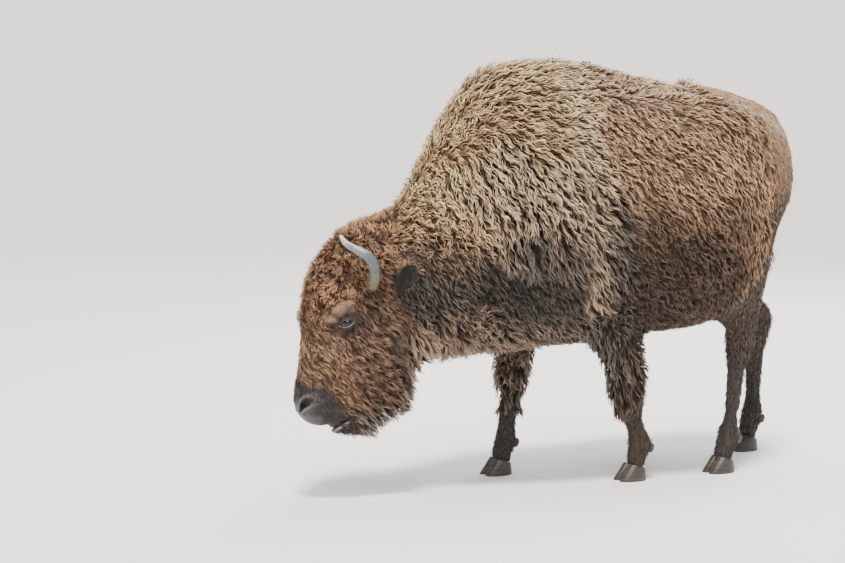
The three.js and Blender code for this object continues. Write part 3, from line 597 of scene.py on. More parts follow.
def mark(coat, at, over_cape, over_wool):
    """The darker and paler fields of the coat, its seam and rims, and the streaks, with painted highlights
    where the sun falls and painted shade below and behind the wool's edge.
    """
    x, z = at[:, 0], at[:, 2]
    body = x > -0.3

    # The neck and shoulder, dark below the ragged foot of the cape.
    above_foot = z - cape_foot(x) + 0.020 * waves(at, 0.09, 41)
    under = smoothstep(0.035, -0.030, above_foot) * smoothstep(0.58, 0.68, z) * smoothstep(0.08, 0.02, x)
    under *= smoothstep(-0.72, -0.64, x) * smoothstep(0.08, 0.14, np.abs(at[:, 1]))
    under *= 0.35 + 0.40 * smoothstep(-0.50, -0.40, x)
    mix_in(coat, under, tip=NECK_DARK, root=NECK_DARK / 6)

    # The flank, darker below: painted shade away from the sun above.
    low = 0.60 * smoothstep(1.12, 0.92, z + 0.03 * waves(at, 0.12, 42)) * smoothstep(0.68, 0.56, x)
    mix_in(coat, low * over_cape * (1 - over_wool) * body, tip=FLANK_LOW_SHADE, root=FLANK_LOW_SHADE / 6)

    # The flank wool's edge with a painted highlight along it, the cape's edge behind the shoulder painted
    # cream as a highlight, dark patches on the head, and a painted shadow behind the wool's edge.
    rim = bell(x, wool_edge(z) - 0.010, 0.009) * smoothstep(0.62, 0.68, z) * (1 - over_wool)
    mix_in(coat, 0.85 * rim * body * (z < 1.30), tip=FLANK_RIM_HIGHLIGHT)
    seam = bell(x, cape_edge(z) - 0.055, 0.075) * smoothstep(1.02, 1.20, z) * (1 - over_cape) * body
    mix_in(coat, 0.85 * seam, tip=CREAM_HIGHLIGHT)
    mix_in(coat, 0.65 * seam, root=CREAM_HIGHLIGHT * 0.50)
    patches = 0.60 * smoothstep(0.05, 0.55, waves(at, 0.055, 61)) * smoothstep(-0.64, -0.70, x) * (z < 1.0)
    mix_in(coat, patches, tip=DARK_BROWN_AND_SHADOW, root=DARK_BROWN_AND_SHADOW / 4)
    behind = bell(x, wool_edge(z) + 0.016, 0.010) * smoothstep(0.70, 0.80, z) * (z < 1.22)
    mix_in(coat, 0.6 * behind * body, tip=DARK_BROWN_AND_SHADOW)

    left = at * (1, 0, 1) - np.abs(at) * (0, 1, 0)
    for colour, strength, width, line in STREAKS:
        streak = strength * bell(by_line(left, line), 0, width)
        mix_in(coat, streak, tip=colour)
        mix_in(coat, 0.6 * streak, root=colour * 0.5)


def spread(at, growing, power):
    """The share of each spot's coat at each point: a high power gives way soon. The head's is always high."""
    shares = np.empty((len(at), len(SPOTS)))
    for n, (kind, place, _, reach) in enumerate(SPOTS):
        gap = np.linalg.norm(at - np.array(place), axis=1) / reach
        soon = power if place[0] > HEAD_END else SHARPNESS
        shares[:, n] = growing.get(kind, 1) / np.maximum(gap, 0.01) ** soon
    return shares / (shares.sum(1, keepdims=True) + 1e-12)


def survey(at):
    """The coat at each point: its numbers, its lie, and the colours of its tips and roots."""
    x, z = at[:, 0], at[:, 2]
    ragged = 0.022 * waves(at, 0.16, 21) + 0.008 * waves(at, 0.045, 22)
    over_cape = smoothstep(-0.030, 0.034, x - cape_edge(z) + ragged)
    ragged = 0.016 * waves(at, 0.13, 51) * smoothstep(1.15, 1.35, z)
    over_wool = smoothstep(-0.008, 0.014, x - wool_edge(z) + ragged)
    growing = {"haunch": 1 - over_wool, "croup": over_wool, **dict.fromkeys(CAPE, 1 - over_cape),
               **dict.fromkeys(WOOL, over_cape * (1 - over_wool))}
    wide = np.column_stack([waves(at, 0.20, seed) for seed in (31, 32, 33)])
    narrow = np.column_stack([waves(at, 0.08, seed) for seed in (31, 32, 33)])
    warped = at + np.where((x > HEAD_END)[:, None], 0.05 * wide, 0.018 * narrow)
    weights = spread(at, growing, SHARPNESS)
    blends = spread(warped, growing, BLEND)
    coat = {}
    for column, key in enumerate(NUMBERS):
        coat[key] = weights @ np.array([KINDS[kind][column] for kind, *_ in SPOTS], float)
    for column, key in ((-2, "tip"), (-1, "root")):
        coat[key] = blends @ np.array([linear(*KINDS[kind][column]) for kind, *_ in SPOTS])
    coat["lie"] = unit(weights @ unit(np.array([lie for _, _, lie, _ in SPOTS], float)))
    mark(coat, at, over_cape, over_wool)
    dress_ears(coat, at)
    for key in ("depth", "long", "wide", "curl", "rope"):
        coat[key] /= 1000
    return coat


# ---------------------------------------------------------------- the skin's own shape
SKIN_TRIANGLES = 132000  # before the face is meshed more finely
EVEN_ROUNDS = 26
SINK_STEPS = 10
WAY_ROUNDS, PLACE_ROUNDS = 6, 4  # how often the way inwards and the places are evened in each step
DEEP_COAT = 0.03


def evening(at):
    """How much each part of the form is evened out: least where it is thin."""
    head = both_sides(to_head(at))
    weight = np.where(at[:, 2] < 0.5, 0.35, 1.0)
    weight[(head[:, 0] > 0.02) & (at[:, 0] < -0.55)] = 0.4
    return weight * (1 - 0.85 * near(head, EAR_MIDDLE, 0.13))


def make_skin():
    """The skin, and the form with its coat on that it was sunk from."""
    skin = whole_form()
    mesh = skin.data
    at = points_of(mesh)
    pairs = read(mesh.edges, "vertices", 2, np.int32)
    at = relax(at, pairs, EVEN_ROUNDS, evening(at))
    outer = BVHTree.FromPolygons(at.tolist(), faces_of(mesh))
    sink(mesh, at, pairs, survey(at)["depth"])
    meet_hooves(mesh)
    thin = skin.modifiers.new("thin", "DECIMATE")
    thin.ratio = SKIN_TRIANGLES / (2 * len(mesh.polygons))
    apply_modifiers(skin)
    refine(skin.data)
    shape_face(skin.data)
    skin.data.shade_smooth()
    return skin, outer


CORONET = 0.085  # below this height the legs are drawn down
FOOT_REACH = 0.1
TUCK = 0.012


def meet_hooves(mesh):
    """Draws the ends of the legs down into the hooves."""
    at = points_of(mesh)
    for leg in LEGS:
        foot = (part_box(leg + "_claw_left")[0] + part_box(leg + "_claw_right")[1]) / 2
        round_foot = np.hypot(at[:, 0] - foot.x, at[:, 1] - foot.y) < FOOT_REACH
        at[:, 2] -= TUCK * round_foot * smoothstep(CORONET, CORONET - 0.02, at[:, 2])
    set_points(mesh, at)


# Where the skin is meshed more finely: the place on the head, and how far round it, pass by pass.
FINER = ((EYE_AT, (0.052, 0.042, 0.034)), ((0.632, 0.060, 0.030), (0.048, 0.038)),
         ((0.690, 0.030, -0.085), (0.065, 0.050)), ((0.645, 0.045, -0.115), (0.045, 0.038)))


def refine(mesh):
    """Finer faces round the eyes, nostrils and mouth."""
    bm = bmesh.new()
    bm.from_mesh(mesh)
    for step in range(3):
        head = both_sides(to_head(np.array([v.co for v in bm.verts])))
        chosen = np.zeros(len(head), bool)
        for place, reaches in FINER:
            if step < len(reaches):
                chosen |= np.linalg.norm(head - np.array(place), axis=1) < reaches[step]
        edges = [e for e in bm.edges if chosen[e.verts[0].index] and chosen[e.verts[1].index]]
        bmesh.ops.subdivide_edges(bm, edges=edges, cuts=1, smooth=0.6, use_grid_fill=True)
        bmesh.ops.triangulate(bm, faces=[f for f in bm.faces if len(f.verts) > 4])
        bm.verts.index_update()
    bm.to_mesh(mesh)
    bm.free()


# The eye's opening: its long axis, and the way that it faces, in the head's frame.
EYE_GAZE = unit(np.array((0.06, 0.93, 0.36)))
EYE_SLANT = np.array((-0.55, 0.10, -0.90))
EYE_CENTRE = np.array((0.331, 0.123, -0.023))
EYE_RADIUS = 0.024
EYE_HALF_LONG = 0.0275  # along the ball
EYE_HALF_OPEN = 0.0112
LID = 0.0024


def eye_axes():
    """Along the eye's opening to the back, and across it upwards."""
    back = unit(EYE_SLANT - EYE_GAZE * (EYE_SLANT @ EYE_GAZE))
    up = np.cross(back, EYE_GAZE)
    return back, up * -np.sign(up[0])


def eye_place(head):
    """Points round the eye, from the middle of its opening: over the ball backwards and upwards, and out."""
    back, up = eye_axes()
    out = unit(head - EYE_CENTRE)
    angle = np.arccos(np.clip(out @ EYE_GAZE, -1, 1))
    level = np.arctan2(out @ up, out @ back)
    reach = EYE_RADIUS * angle
    return reach * np.cos(level), reach * np.sin(level), out


def lid_distance(back, up):
    """1 on the edge of the lids, less inside the opening, more outside. The upper lid droops."""
    arch = np.where(up > -0.001, 0.85, 1.0) * EYE_HALF_OPEN
    almond = 1 - 0.35 * np.abs(back / EYE_HALF_LONG) ** 1.5
    return np.hypot(back / EYE_HALF_LONG, (up + 0.001) / (arch * np.maximum(almond, 0.3)))


# The nostril, in the head's frame.
NOSTRIL_MIDDLE = np.array((0.642, 0.068, 0.043))
NOSTRIL_WAY = unit(np.array((-0.89, 0.30, -0.45)))  # up its length, to the back
NOSTRIL_HALF_LONG = 0.039
NOSTRIL_HALF_THICK = 0.0128


def nostril_place(head):
    """How far points are from the nostril's middle, where 1 is its rim: a comma, wide at the back."""
    upright = unit(np.cross(NOSTRIL_WAY, (0.0, 1.0, 0.25)))
    run = (head - NOSTRIL_MIDDLE) @ NOSTRIL_WAY
    rise = (head - NOSTRIL_MIDDLE) @ upright - 9 * run * run
    thick = NOSTRIL_HALF_THICK * (1 + 16 * np.clip(run, -0.03, 0.03))
    return np.where(head[:, 1] > 0.02, np.hypot(run / NOSTRIL_HALF_LONG, rise / thick), 9)


MOUTH_SLOPE = 0.85
MOUTH_FRONT = (0.70, -0.079)  # along the face, and out from it


def below_mouth(head):
    """How far points are below the line of the mouth."""
    line = MOUTH_FRONT[1] - MOUTH_SLOPE * (MOUTH_FRONT[0] - head[:, 0])
    return (line - head[:, 2]) / math.hypot(1, MOUTH_SLOPE)


BROW_LINE = ((0.345, 0.122, 0.046), (0.300, 0.142, 0.040), (0.274, 0.150, 0.020), (0.262, 0.152, -0.012))


def shape_face(mesh):
    """Lids over the eyeballs with their folds, the brows, hollow nostrils with their rims, and the mouth."""
    at = points_of(mesh)
    normal = both_sides(normals_of(mesh) @ HEAD_AXES)
    head = to_head(at)
    side = np.where(head[:, 1] < 0, -1.0, 1.0)
    head = both_sides(head)
    head = head + normal * (0.007 * bell(by_line(head, BROW_LINE), 0, 0.012))[:, None]

    # Over the eyeball: the lids, a fold round them, a furrow and a fuller fold.
    back, up, out = eye_place(head)
    edge = lid_distance(back, up)
    radius = EYE_RADIUS - 0.005 + (0.005 + LID) * smoothstep(0.84, 1.10, edge)
    radius += 0.0014 * bell(edge, 1.16, 0.10)
    radius -= 0.0016 * bell(edge, 1.45, 0.13)
    radius += np.where(up > 0, 0.0026, 0.0014) * bell(edge, 1.95, 0.30)
    hug = smoothstep(0.046, 0.028, np.hypot(back, up))
    hug *= np.linalg.norm(head - EYE_CENTRE, axis=1) < 0.06
    head = head + (EYE_CENTRE + out * radius[:, None] - head) * hug[:, None]

    # The nostrils' rims and hollows, and the groove of the mouth above the full lower lip.
    rim = nostril_place(head)
    on_nose = (head[:, 0] > 0.57) & (head[:, 2] > -0.05)
    push = on_nose * (0.0032 * bell(rim, 1.35, 0.28) - 0.018 * smoothstep(1.05, 0.35, rim))
    lower = below_mouth(head)
    at_mouth = smoothstep(0.630, 0.655, head[:, 0])
    push += at_mouth * (0.002 * bell(lower, 0.010, 0.006) - 0.011 * bell(lower, 0, 0.0045))
    head = head + normal * push[:, None]
    head[:, 1] *= side
    set_points(mesh, np.where(in_front(at)[:, None], from_head(head), at))


skin, outer = make_skin()
SEAM_ANGLE = math.radians(66)
ISLAND_GAP = 0.002


def unwrap_skin():
    """The skin's own unwrap, that every lock takes its place from."""
    bpy.context.view_layer.objects.active = skin
    skin.select_set(True)
    bpy.ops.object.mode_set(mode="EDIT")
    bpy.ops.mesh.select_all(action="SELECT")
    bpy.ops.uv.smart_project(angle_limit=SEAM_ANGLE, island_margin=ISLAND_GAP)
    bpy.ops.object.mode_set(mode="OBJECT")
    skin.select_set(False)
    skin.data.uv_layers[0].name = "OFBake"


unwrap_skin()

# ---------------------------------------------------------------- the coat
chance = np.random.default_rng(11)
WISPS = 0.12  # share of locks that are fine, stray and stand out
WISP_RISE, WISP_WIDTH, WISP_GATHER = 1.18, 0.42, 0.2  # how they differ from other locks
NEAREST = 6  # leading locks that each lock chooses from
ROPE_CROWD = 2.4  # how many ropes' breadths of skin, squared, each leader has
CRIMP = 0.78  # length of one wave of a lock, over the lock's length
PATCH = 0.003  # a lock's width on the unwrap of the skin
SUNK = 0.002  # how deep its root is under the skin
THIN_COAT = 0.004


def skin_faces():
    """The skin's triangles: their corners, and the unwrap at each corner."""
    mesh = skin.data
    mesh.calc_loop_triangles()
    loops = read(mesh.loop_triangles, "loops", 3, np.int32)
    flat = read(mesh.uv_layers["OFBake"].data, "uv", 2)
    return read(mesh.loop_triangles, "vertices", 3, np.int32), flat[loops]


def sow():
    """The roots of all locks: their place, the skin's normal there, the coat's numbers and the unwrap."""
    corners, flat = skin_faces()
    at = points_of(skin.data)
    normal = normals_of(skin.data)
    coat = survey(at)
    coat["depth"] = room_for_coat(at, normal, coat["depth"])
    a, b, c = at[corners[:, 0]], at[corners[:, 1]], at[corners[:, 2]]
    area = np.linalg.norm(np.cross(b - a, c - a), axis=1) / 2
    wanted = area * coat["dense"][corners].mean(1)
    count = np.floor(wanted + chance.random(len(wanted))).astype(int)
    face = np.repeat(np.arange(len(area)), count)
    share = chance.random((len(face), 2))
    fold = share.sum(1) > 1
    share[fold] = 1 - share[fold]
    share = np.column_stack((1 - share.sum(1), share))

    def mixed(values):
        return np.einsum("nk,nk...->n...", share, values[corners[face]])

    seeds = {key: mixed(value) for key, value in coat.items()}
    seeds["at"] = mixed(at)
    seeds["normal"] = unit(mixed(normal))
    seeds["flat"] = np.einsum("nk,nkd->nd", share, flat[face])
    return seeds


def room_for_coat(at, normal, depth):
    """How far the outline of the solids is from the skin, as the coat fills that."""
    room = np.array(depth)
    for n in np.flatnonzero(depth > THIN_COAT):
        hit = outer.ray_cast(Vector(at[n]), Vector(normal[n]), 1.8 * depth[n])
        if hit[3] is not None:
            room[n] = max(hit[3], 0.6 * depth[n])
    return room


def leaders_of(seeds):
    """The lock that each lock gathers to. Locks gather into ropes that run along their lie."""
    at = seeds["at"]
    led = 1 / np.maximum(ROPE_CROWD * seeds["dense"] * seeds["rope"] ** 2, 1)
    leaders = np.flatnonzero(chance.random(len(at)) < led)
    tree = KDTree(len(leaders))
    for number, leader in enumerate(leaders):
        tree.insert(at[leader], number)
    tree.balance()
    close = leaders[np.array([[found[1] for found in tree.find_n(place, NEAREST)] for place in at])]
    gap = at[close] - at[:, None]
    sideways = np.abs(np.einsum("nkd,nd->nk", gap, seeds["across"]))
    lengthwise = np.abs(np.einsum("nkd,nd->nk", gap, seeds["along"]))
    return close[np.arange(len(at)), np.argmin(sideways + 0.30 * lengthwise, axis=1)]


def turn(seeds, yaw):
    """Turns the lie of the locks on the skin."""
    along, across = seeds["along"], seeds["across"]
    cos, sin = np.cos(yaw)[:, None], np.sin(yaw)[:, None]
    seeds["along"], seeds["across"] = along * cos + across * sin, across * cos - along * sin


def comb(seeds):
    """Lays each lock: its way over the skin, its length, its curl, and the rope that it gathers to."""
    at, normal = seeds["at"], seeds["normal"]
    n = len(at)
    seeds["outward"] = (seeds["lie"] * normal).sum(1)
    seeds["along"] = unit(seeds["lie"] - normal * seeds["outward"][:, None])
    seeds["across"] = np.cross(normal, seeds["along"])

    # Which way each lock lies, and how far it bends over to its leader.
    stray = np.radians(seeds["stray"])
    turn(seeds, stray * waves(at, 0.09, 3))
    leader = leaders_of(seeds)
    rope_yaw = 0.7 * stray * chance.normal(size=n)
    wisp = chance.random(n) < WISPS
    turn(seeds, rope_yaw[leader] + stray * chance.normal(size=n) * np.where(wisp, 1.4, 0.35))
    gap = ((at[leader] - at) * seeds["across"]).sum(1)
    aside = np.abs(gap) / (0.5 * seeds["rope"])
    gathers = np.clip(seeds["long"] / 0.050, 0.35, 0.8)
    seeds["gather"] = np.where(wisp, WISP_GATHER, gathers) * gap

    # The waves of a rope's locks run in step.
    seeds["crimp"] = CRIMP * seeds["long"][leader]
    ahead = ((at - at[leader]) * seeds["along"][leader]).sum(1)
    phase = 2 * math.pi * waves(at, 0.10, 5) + 0.7 * chance.normal(size=n)
    seeds["phase"] = phase[leader] + 2 * math.pi * ahead / seeds["crimp"] + 0.25 * chance.normal(size=n)

    # A rope is highest along its middle, and darker to its sides as painted shade in the gaps between ropes;
    # its locks differ in tone at random too.
    seeds["long"] = seeds["long"] * chance.uniform(0.80, 1.20, n)[leader] * chance.uniform(0.86, 1.12, n)
    lift = chance.uniform(0.80, 1.0, n)[leader] * chance.uniform(0.85, 1.0, n)
    height = seeds["depth"] * lift * (1 - 0.40 * np.clip(aside, 0, 1.3))
    seeds["height"] = height * np.where(wisp, WISP_RISE, 1)
    seeds["wide"] = seeds["wide"] * chance.uniform(0.75, 1.3, n) * np.where(wisp, WISP_WIDTH, 1)
    shade = 1.22 + 0.24 * chance.normal(size=n)[leader] + 0.10 * chance.normal(size=n)
    shade += 0.16 * waves(at, 0.22, 8) + 0.14 * waves(at, 0.05, 9) - 0.44 * np.clip(aside, 0, 1.5)
    seeds["shade"] = np.clip(shade, 0.25, 1.7)
    seeds["chance"] = chance.random(n)


def grow(seeds, rings):
    """The corners, colours, unwrap and strands of a lock for each seed: rings of three points and a tip."""
    n = len(seeds["at"])
    normal, along, across = seeds["normal"], seeds["along"], seeds["across"]
    long, height, wide = seeds["long"], seeds["height"], seeds["wide"]
    hang = smoothstep(0.1, 0.5, seeds["outward"])  # 1 where the lie leads off the skin, as under the throat
    reach_out = np.minimum(np.maximum(seeds["outward"], 0) * 0.7 * long, 0.75 * seeds["depth"])
    points, colours, places, strands = (np.empty((n, 3 * rings + 1, width)) for width in (3, 4, 2, 3))
    colours[..., 3] = 1
    for ring in range(rings + 1):
        t = ring / rings
        # A lock rises soon and droops at its tip; it swells from its root and tapers.
        rise = height * (1 - (1 - t) ** 1.8 - 0.16 * t ** 3)
        rise = rise * (1 - hang) + (0.35 * rise + reach_out * t) * hang
        run = long * t * np.sqrt(1 - (0.5 * hang) ** 2)
        wave = 2 * math.pi * run / seeds["crimp"] + seeds["phase"]
        sway = seeds["curl"] * min(2.2 * t, 1)
        aside = sway * np.sin(wave) + seeds["gather"] * t ** 0.8
        middle = seeds["at"] + along * run[:, None] + across * aside[:, None]
        middle += normal * (rise + 0.45 * sway * np.cos(wave) - SUNK * (1 - t))[:, None]
        half = wide * math.sin(math.pi * min(0.25 + 0.72 * t, 1)) ** 0.6 / 2
        # Dark roots and pale tips: the hair's own colour, with the roots darker still as painted shade deep
        # in the coat.
        tint = smoothstep(0.20, 1.0, t)
        base = seeds["root"] * (1 - tint) + seeds["tip"] * tint
        corners = ((-1, 0), (1, 0), (0, 0.7)) if ring < rings else ((0, 0),)
        for corner, (sideways, up) in enumerate(corners):
            spot = 3 * ring + corner
            points[:, spot] = middle + across * (sideways * half)[:, None] + normal * (up * half)[:, None]
            # The lower corners of each ring are darker: painted shade on the underside of the lock.
            shade = seeds["shade"] * (1.0 if up or ring == rings else 0.66)
            colours[:, spot, :3] = base * shade[:, None]
            places[:, spot, 0] = (t - 0.5) * PATCH
            places[:, spot, 1] = 0.5 * sideways * PATCH
            strands[:, spot, 0] = sideways * wide / 2
            strands[:, spot, 1] = t * long
            strands[:, spot, 2] = seeds["chance"]
    places += seeds["flat"][:, None, :]
    return points, np.clip(colours, 0, 1), places, strands


def lock_faces(rings):
    """The triangles of one lock: its three sides, ring by ring, its tip and its root."""
    faces = [(0, 1, 2)]
    sides = ((0, 2), (2, 1), (1, 0))
    for ring in range(rings - 1):
        low, high = 3 * ring, 3 * ring + 3
        for a, b in sides:
            faces += [(low + a, low + b, high + b), (low + a, high + b, high + a)]
    last, tip = 3 * rings - 3, 3 * rings
    faces += [(last + a, last + b, tip) for a, b in sides]
    return np.array(faces)


def make_coat(name, seeds, rings):
    """A piece of the coat: its locks as one mesh."""
    points, colours, places, strands = grow(seeds, rings)
    n, each = points.shape[:2]
    one = lock_faces(rings)
    firsts = each * np.arange(n)
    faces = (one[None] + firsts[:, None, None]).reshape(-1, 3).astype(np.int32)
    mesh = bpy.data.meshes.new(name)
    mesh.vertices.add(n * each)
    write(mesh.vertices, "co", points)
    mesh.loops.add(faces.size)
    mesh.loops.foreach_set("vertex_index", faces.ravel())
    mesh.polygons.add(len(faces))
    mesh.polygons.foreach_set("loop_start", np.arange(0, faces.size, 3, dtype=np.int32))
    mesh.update(calc_edges=True)
    mesh.shade_smooth()
    give(mesh.color_attributes, "Coat", "FLOAT_COLOR", "color", colours)
    give(mesh.attributes, "Strand", "FLOAT_VECTOR", "vector", strands)
    flat = mesh.uv_layers.new(name="OFBake")
    write(flat.data, "uv", places.reshape(-1, 2)[faces.ravel()])
    mesh.materials.append(HAIR)
    piece = link(name, mesh)
    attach(piece, "root")


# ---------------------------------------------------------------- finishes
def new_finish(name, roughness):
    """A material, what joins its nodes, and its shader."""
    material = bpy.data.materials.new(name)
    material.use_nodes = True
    shader = material.node_tree.nodes["Principled BSDF"]
    shader.inputs["Roughness"].default_value = roughness
    return material, Wiring(material.node_tree), shader


class Wiring:
    """Adds nodes to a material and joins them."""

    def __init__(self, tree):
        self.tree = tree

    def node(self, kind, **settings):
        made = self.tree.nodes.new("ShaderNode" + kind)
        for key, value in settings.items():
            setattr(made, key, value)
        return made

    def join(self, start, end):
        self.tree.links.new(start, end)

    def feed(self, socket, value):
        """Joins another node's output to a socket, or sets the socket to a number."""
        if isinstance(value, (int, float)):
            socket.default_value = value
        else:
            self.join(value, socket)

    def place(self):
        return self.node("TexCoord").outputs["Object"]

    def value(self, attribute):
        return self.node("Attribute", attribute_name=attribute).outputs["Fac"]

    def colour(self, attribute):
        return self.node("VertexColor", layer_name=attribute).outputs["Color"]

    def noise(self, scale, detail=3.0, stretch=None):
        grain = self.node("TexNoise")
        grain.inputs["Scale"].default_value = scale
        grain.inputs["Detail"].default_value = detail
        where = self.place()
        if stretch:
            mapping = self.node("Mapping")
            mapping.inputs["Scale"].default_value = stretch
            self.join(where, mapping.inputs["Vector"])
            where = mapping.outputs["Vector"]
        self.join(where, grain.inputs["Vector"])
        return grain.outputs["Fac"]

    def math(self, operation, first, second):
        result = self.node("Math", operation=operation)
        for socket, value in zip(result.inputs, (first, second)):
            self.feed(socket, value)
        return result.outputs["Value"]

    def ramp(self, factor, *stops):
        """Colours by factor: each stop is where it stands and its colour, 0 to 255."""
        ramp = self.node("ValToRGB")
        band = ramp.color_ramp.elements
        while len(band) < len(stops):
            band.new(0.5)
        for element, (where, colour) in zip(band, stops):
            element.position = where
            element.color = (*linear(*colour), 1)
        self.join(factor, ramp.inputs["Fac"])
        return ramp.outputs["Color"]

    def mix(self, factor, first, second, kind="MIX"):
        blend = self.node("Mix", data_type="RGBA", blend_type=kind)
        for name, value in (("Factor", factor), ("A", first), ("B", second)):
            self.feed([i for i in blend.inputs if i.name == name and i.enabled][0], value)
        return [o for o in blend.outputs if o.enabled][0]

    def bump(self, height, strength, distance, shader):
        bump = self.node("Bump")
        bump.inputs["Strength"].default_value = strength
        bump.inputs["Distance"].default_value = distance
        self.join(height, bump.inputs["Height"])
        self.join(bump.outputs["Normal"], shader.inputs["Normal"])


STRAND_SCALE = (1900, 42, 57)  # how fine the streaks are across a lock and along it, and from lock to lock


def hair_finish():
    """Each lock shows its strands, as streaks that run its length."""
    material, wiring, shader = new_finish("hair", 0.62)
    strand = wiring.node("Attribute", attribute_name="Strand").outputs["Vector"]
    combed = wiring.node("Mapping")
    combed.inputs["Scale"].default_value = STRAND_SCALE
    wiring.join(strand, combed.inputs["Vector"])
    streaks = wiring.node("TexNoise")
    streaks.inputs["Scale"].default_value = 1.0
    wiring.join(combed.outputs["Vector"], streaks.inputs["Vector"])
    shades = wiring.ramp(streaks.outputs["Fac"], (0.32, (150, 143, 138)), (0.64, (255, 255, 255)))
    wiring.join(wiring.mix(1.0, wiring.colour("Coat"), shades, "MULTIPLY"), shader.inputs["Base Color"])
    shader.inputs["Specular IOR Level"].default_value = 0.3
    return material


def hide_finish():
    """Short-haired hide, and the bare, pebbled leather of the muzzle where Bare is 1."""
    material, wiring, shader = new_finish("hide", 0.62)
    bare = wiring.value("Bare")
    pebbles = wiring.node("TexVoronoi", feature="F1")
    pebbles.inputs["Scale"].default_value = 330
    wiring.join(wiring.place(), pebbles.inputs["Vector"])
    fur = wiring.noise(260, 3.0, (1.0, 1.0, 0.22))
    leather = wiring.math("MULTIPLY", pebbles.outputs["Distance"], wiring.math("MULTIPLY", bare, 0.7))
    wiring.bump(wiring.math("ADD", leather, wiring.math("MULTIPLY", fur, 0.8)), 0.7, 0.0030, shader)
    mottle = wiring.ramp(wiring.noise(60, 4.0), (0.30, (190, 186, 184)), (0.72, (255, 255, 255)))
    wiring.join(wiring.mix(1.0, wiring.colour("Coat"), mottle, "MULTIPLY"), shader.inputs["Base Color"])
    rough = wiring.node("MapRange")
    rough.inputs["To Min"].default_value = 0.78
    rough.inputs["To Max"].default_value = 0.42
    wiring.join(wiring.value("Wet"), rough.inputs["Value"])
    wiring.join(rough.outputs["Result"], shader.inputs["Roughness"])
    return material


def horn_finish():
    """Yellowish and ringed at the root, blue-grey along its length, worn ivory at the tip."""
    material, wiring, shader = new_finish("horn", 0.30)
    along = wiring.value("Along")
    ragged = wiring.math("ADD", along, wiring.math("MULTIPLY", wiring.noise(38, 4.0), 0.12))
    colour = wiring.ramp(ragged, (0.10, (92, 80, 56)), (0.24, (134, 124, 92)), (0.38, (104, 106, 92)),
                         (0.62, (98, 110, 116)), (0.88, (150, 156, 156)), (1.0, (222, 218, 206)))
    fine = wiring.noise(150, 5.0, (1.0, 1.0, 0.25))
    grain = wiring.ramp(fine, (0.35, (176, 172, 166)), (0.7, (255, 255, 255)))
    wiring.join(wiring.mix(1.0, colour, grain, "MULTIPLY"), shader.inputs["Base Color"])
    wiring.bump(wiring.noise(190, 4.0), 0.3, 0.001, shader)
    return material


def hoof_finish():
    """Black horn with growth lines round it, scuffed paler at the ground."""
    material, wiring, shader = new_finish("hoof", 0.45)
    lines = wiring.noise(70, 3.0, (0.12, 0.12, 3.0))
    colour = wiring.ramp(lines, (0.30, (34, 30, 27)), (0.62, (62, 55, 48)), (0.80, (92, 82, 70)))
    wiring.join(colour, shader.inputs["Base Color"])
    wiring.bump(lines, 0.4, 0.0015, shader)
    return material


def eye_finish():
    """A wet, dark brown eye with a wide pupil that lies level."""
    material, wiring, shader = new_finish("eye", 0.16)
    long, high = wiring.value("Long"), wiring.value("High")
    taller = wiring.math("MULTIPLY", high, 1.7)
    squares = wiring.math("ADD", wiring.math("POWER", long, 2.0), wiring.math("POWER", taller, 2.0))
    pupil = wiring.math("SQRT", squares, 0.0)
    colour = wiring.ramp(pupil, (0.42, (3, 3, 4)), (0.50, (16, 11, 9)), (0.80, (26, 18, 14)),
                         (0.92, (12, 9, 8)), (1.0, (44, 38, 34)))
    wiring.join(colour, shader.inputs["Base Color"])
    return material


HAIR = hair_finish()
HIDE = hide_finish()
HORN = horn_finish()
HOOF = hoof_finish()
EYE = eye_finish()

# Pale skin of the nostril's rim, with a painted highlight on it.
NOSTRIL_RIM_PALE_AND_HIGHLIGHT = linear(168, 160, 154)
# Painted shade inside the nostrils and in the groove of the mouth.
HOLLOW_SHADE = linear(16, 12, 12)
LID_PALE = linear(166, 152, 128)
FOLD_PALE = linear(158, 128, 106)
SOCKET_DARK = linear(58, 50, 42)
# Dark lid margins, and painted shade in the crease round the lids.
LID_DARK_AND_CREASE_SHADE = linear(34, 28, 26)
LIP_PALE = linear(168, 158, 150)
FULL_COAT = 9000  # locks on a square metre, from which they shade the skin fully
BARE_COAT = 4000  # and below which bare skin begins to show


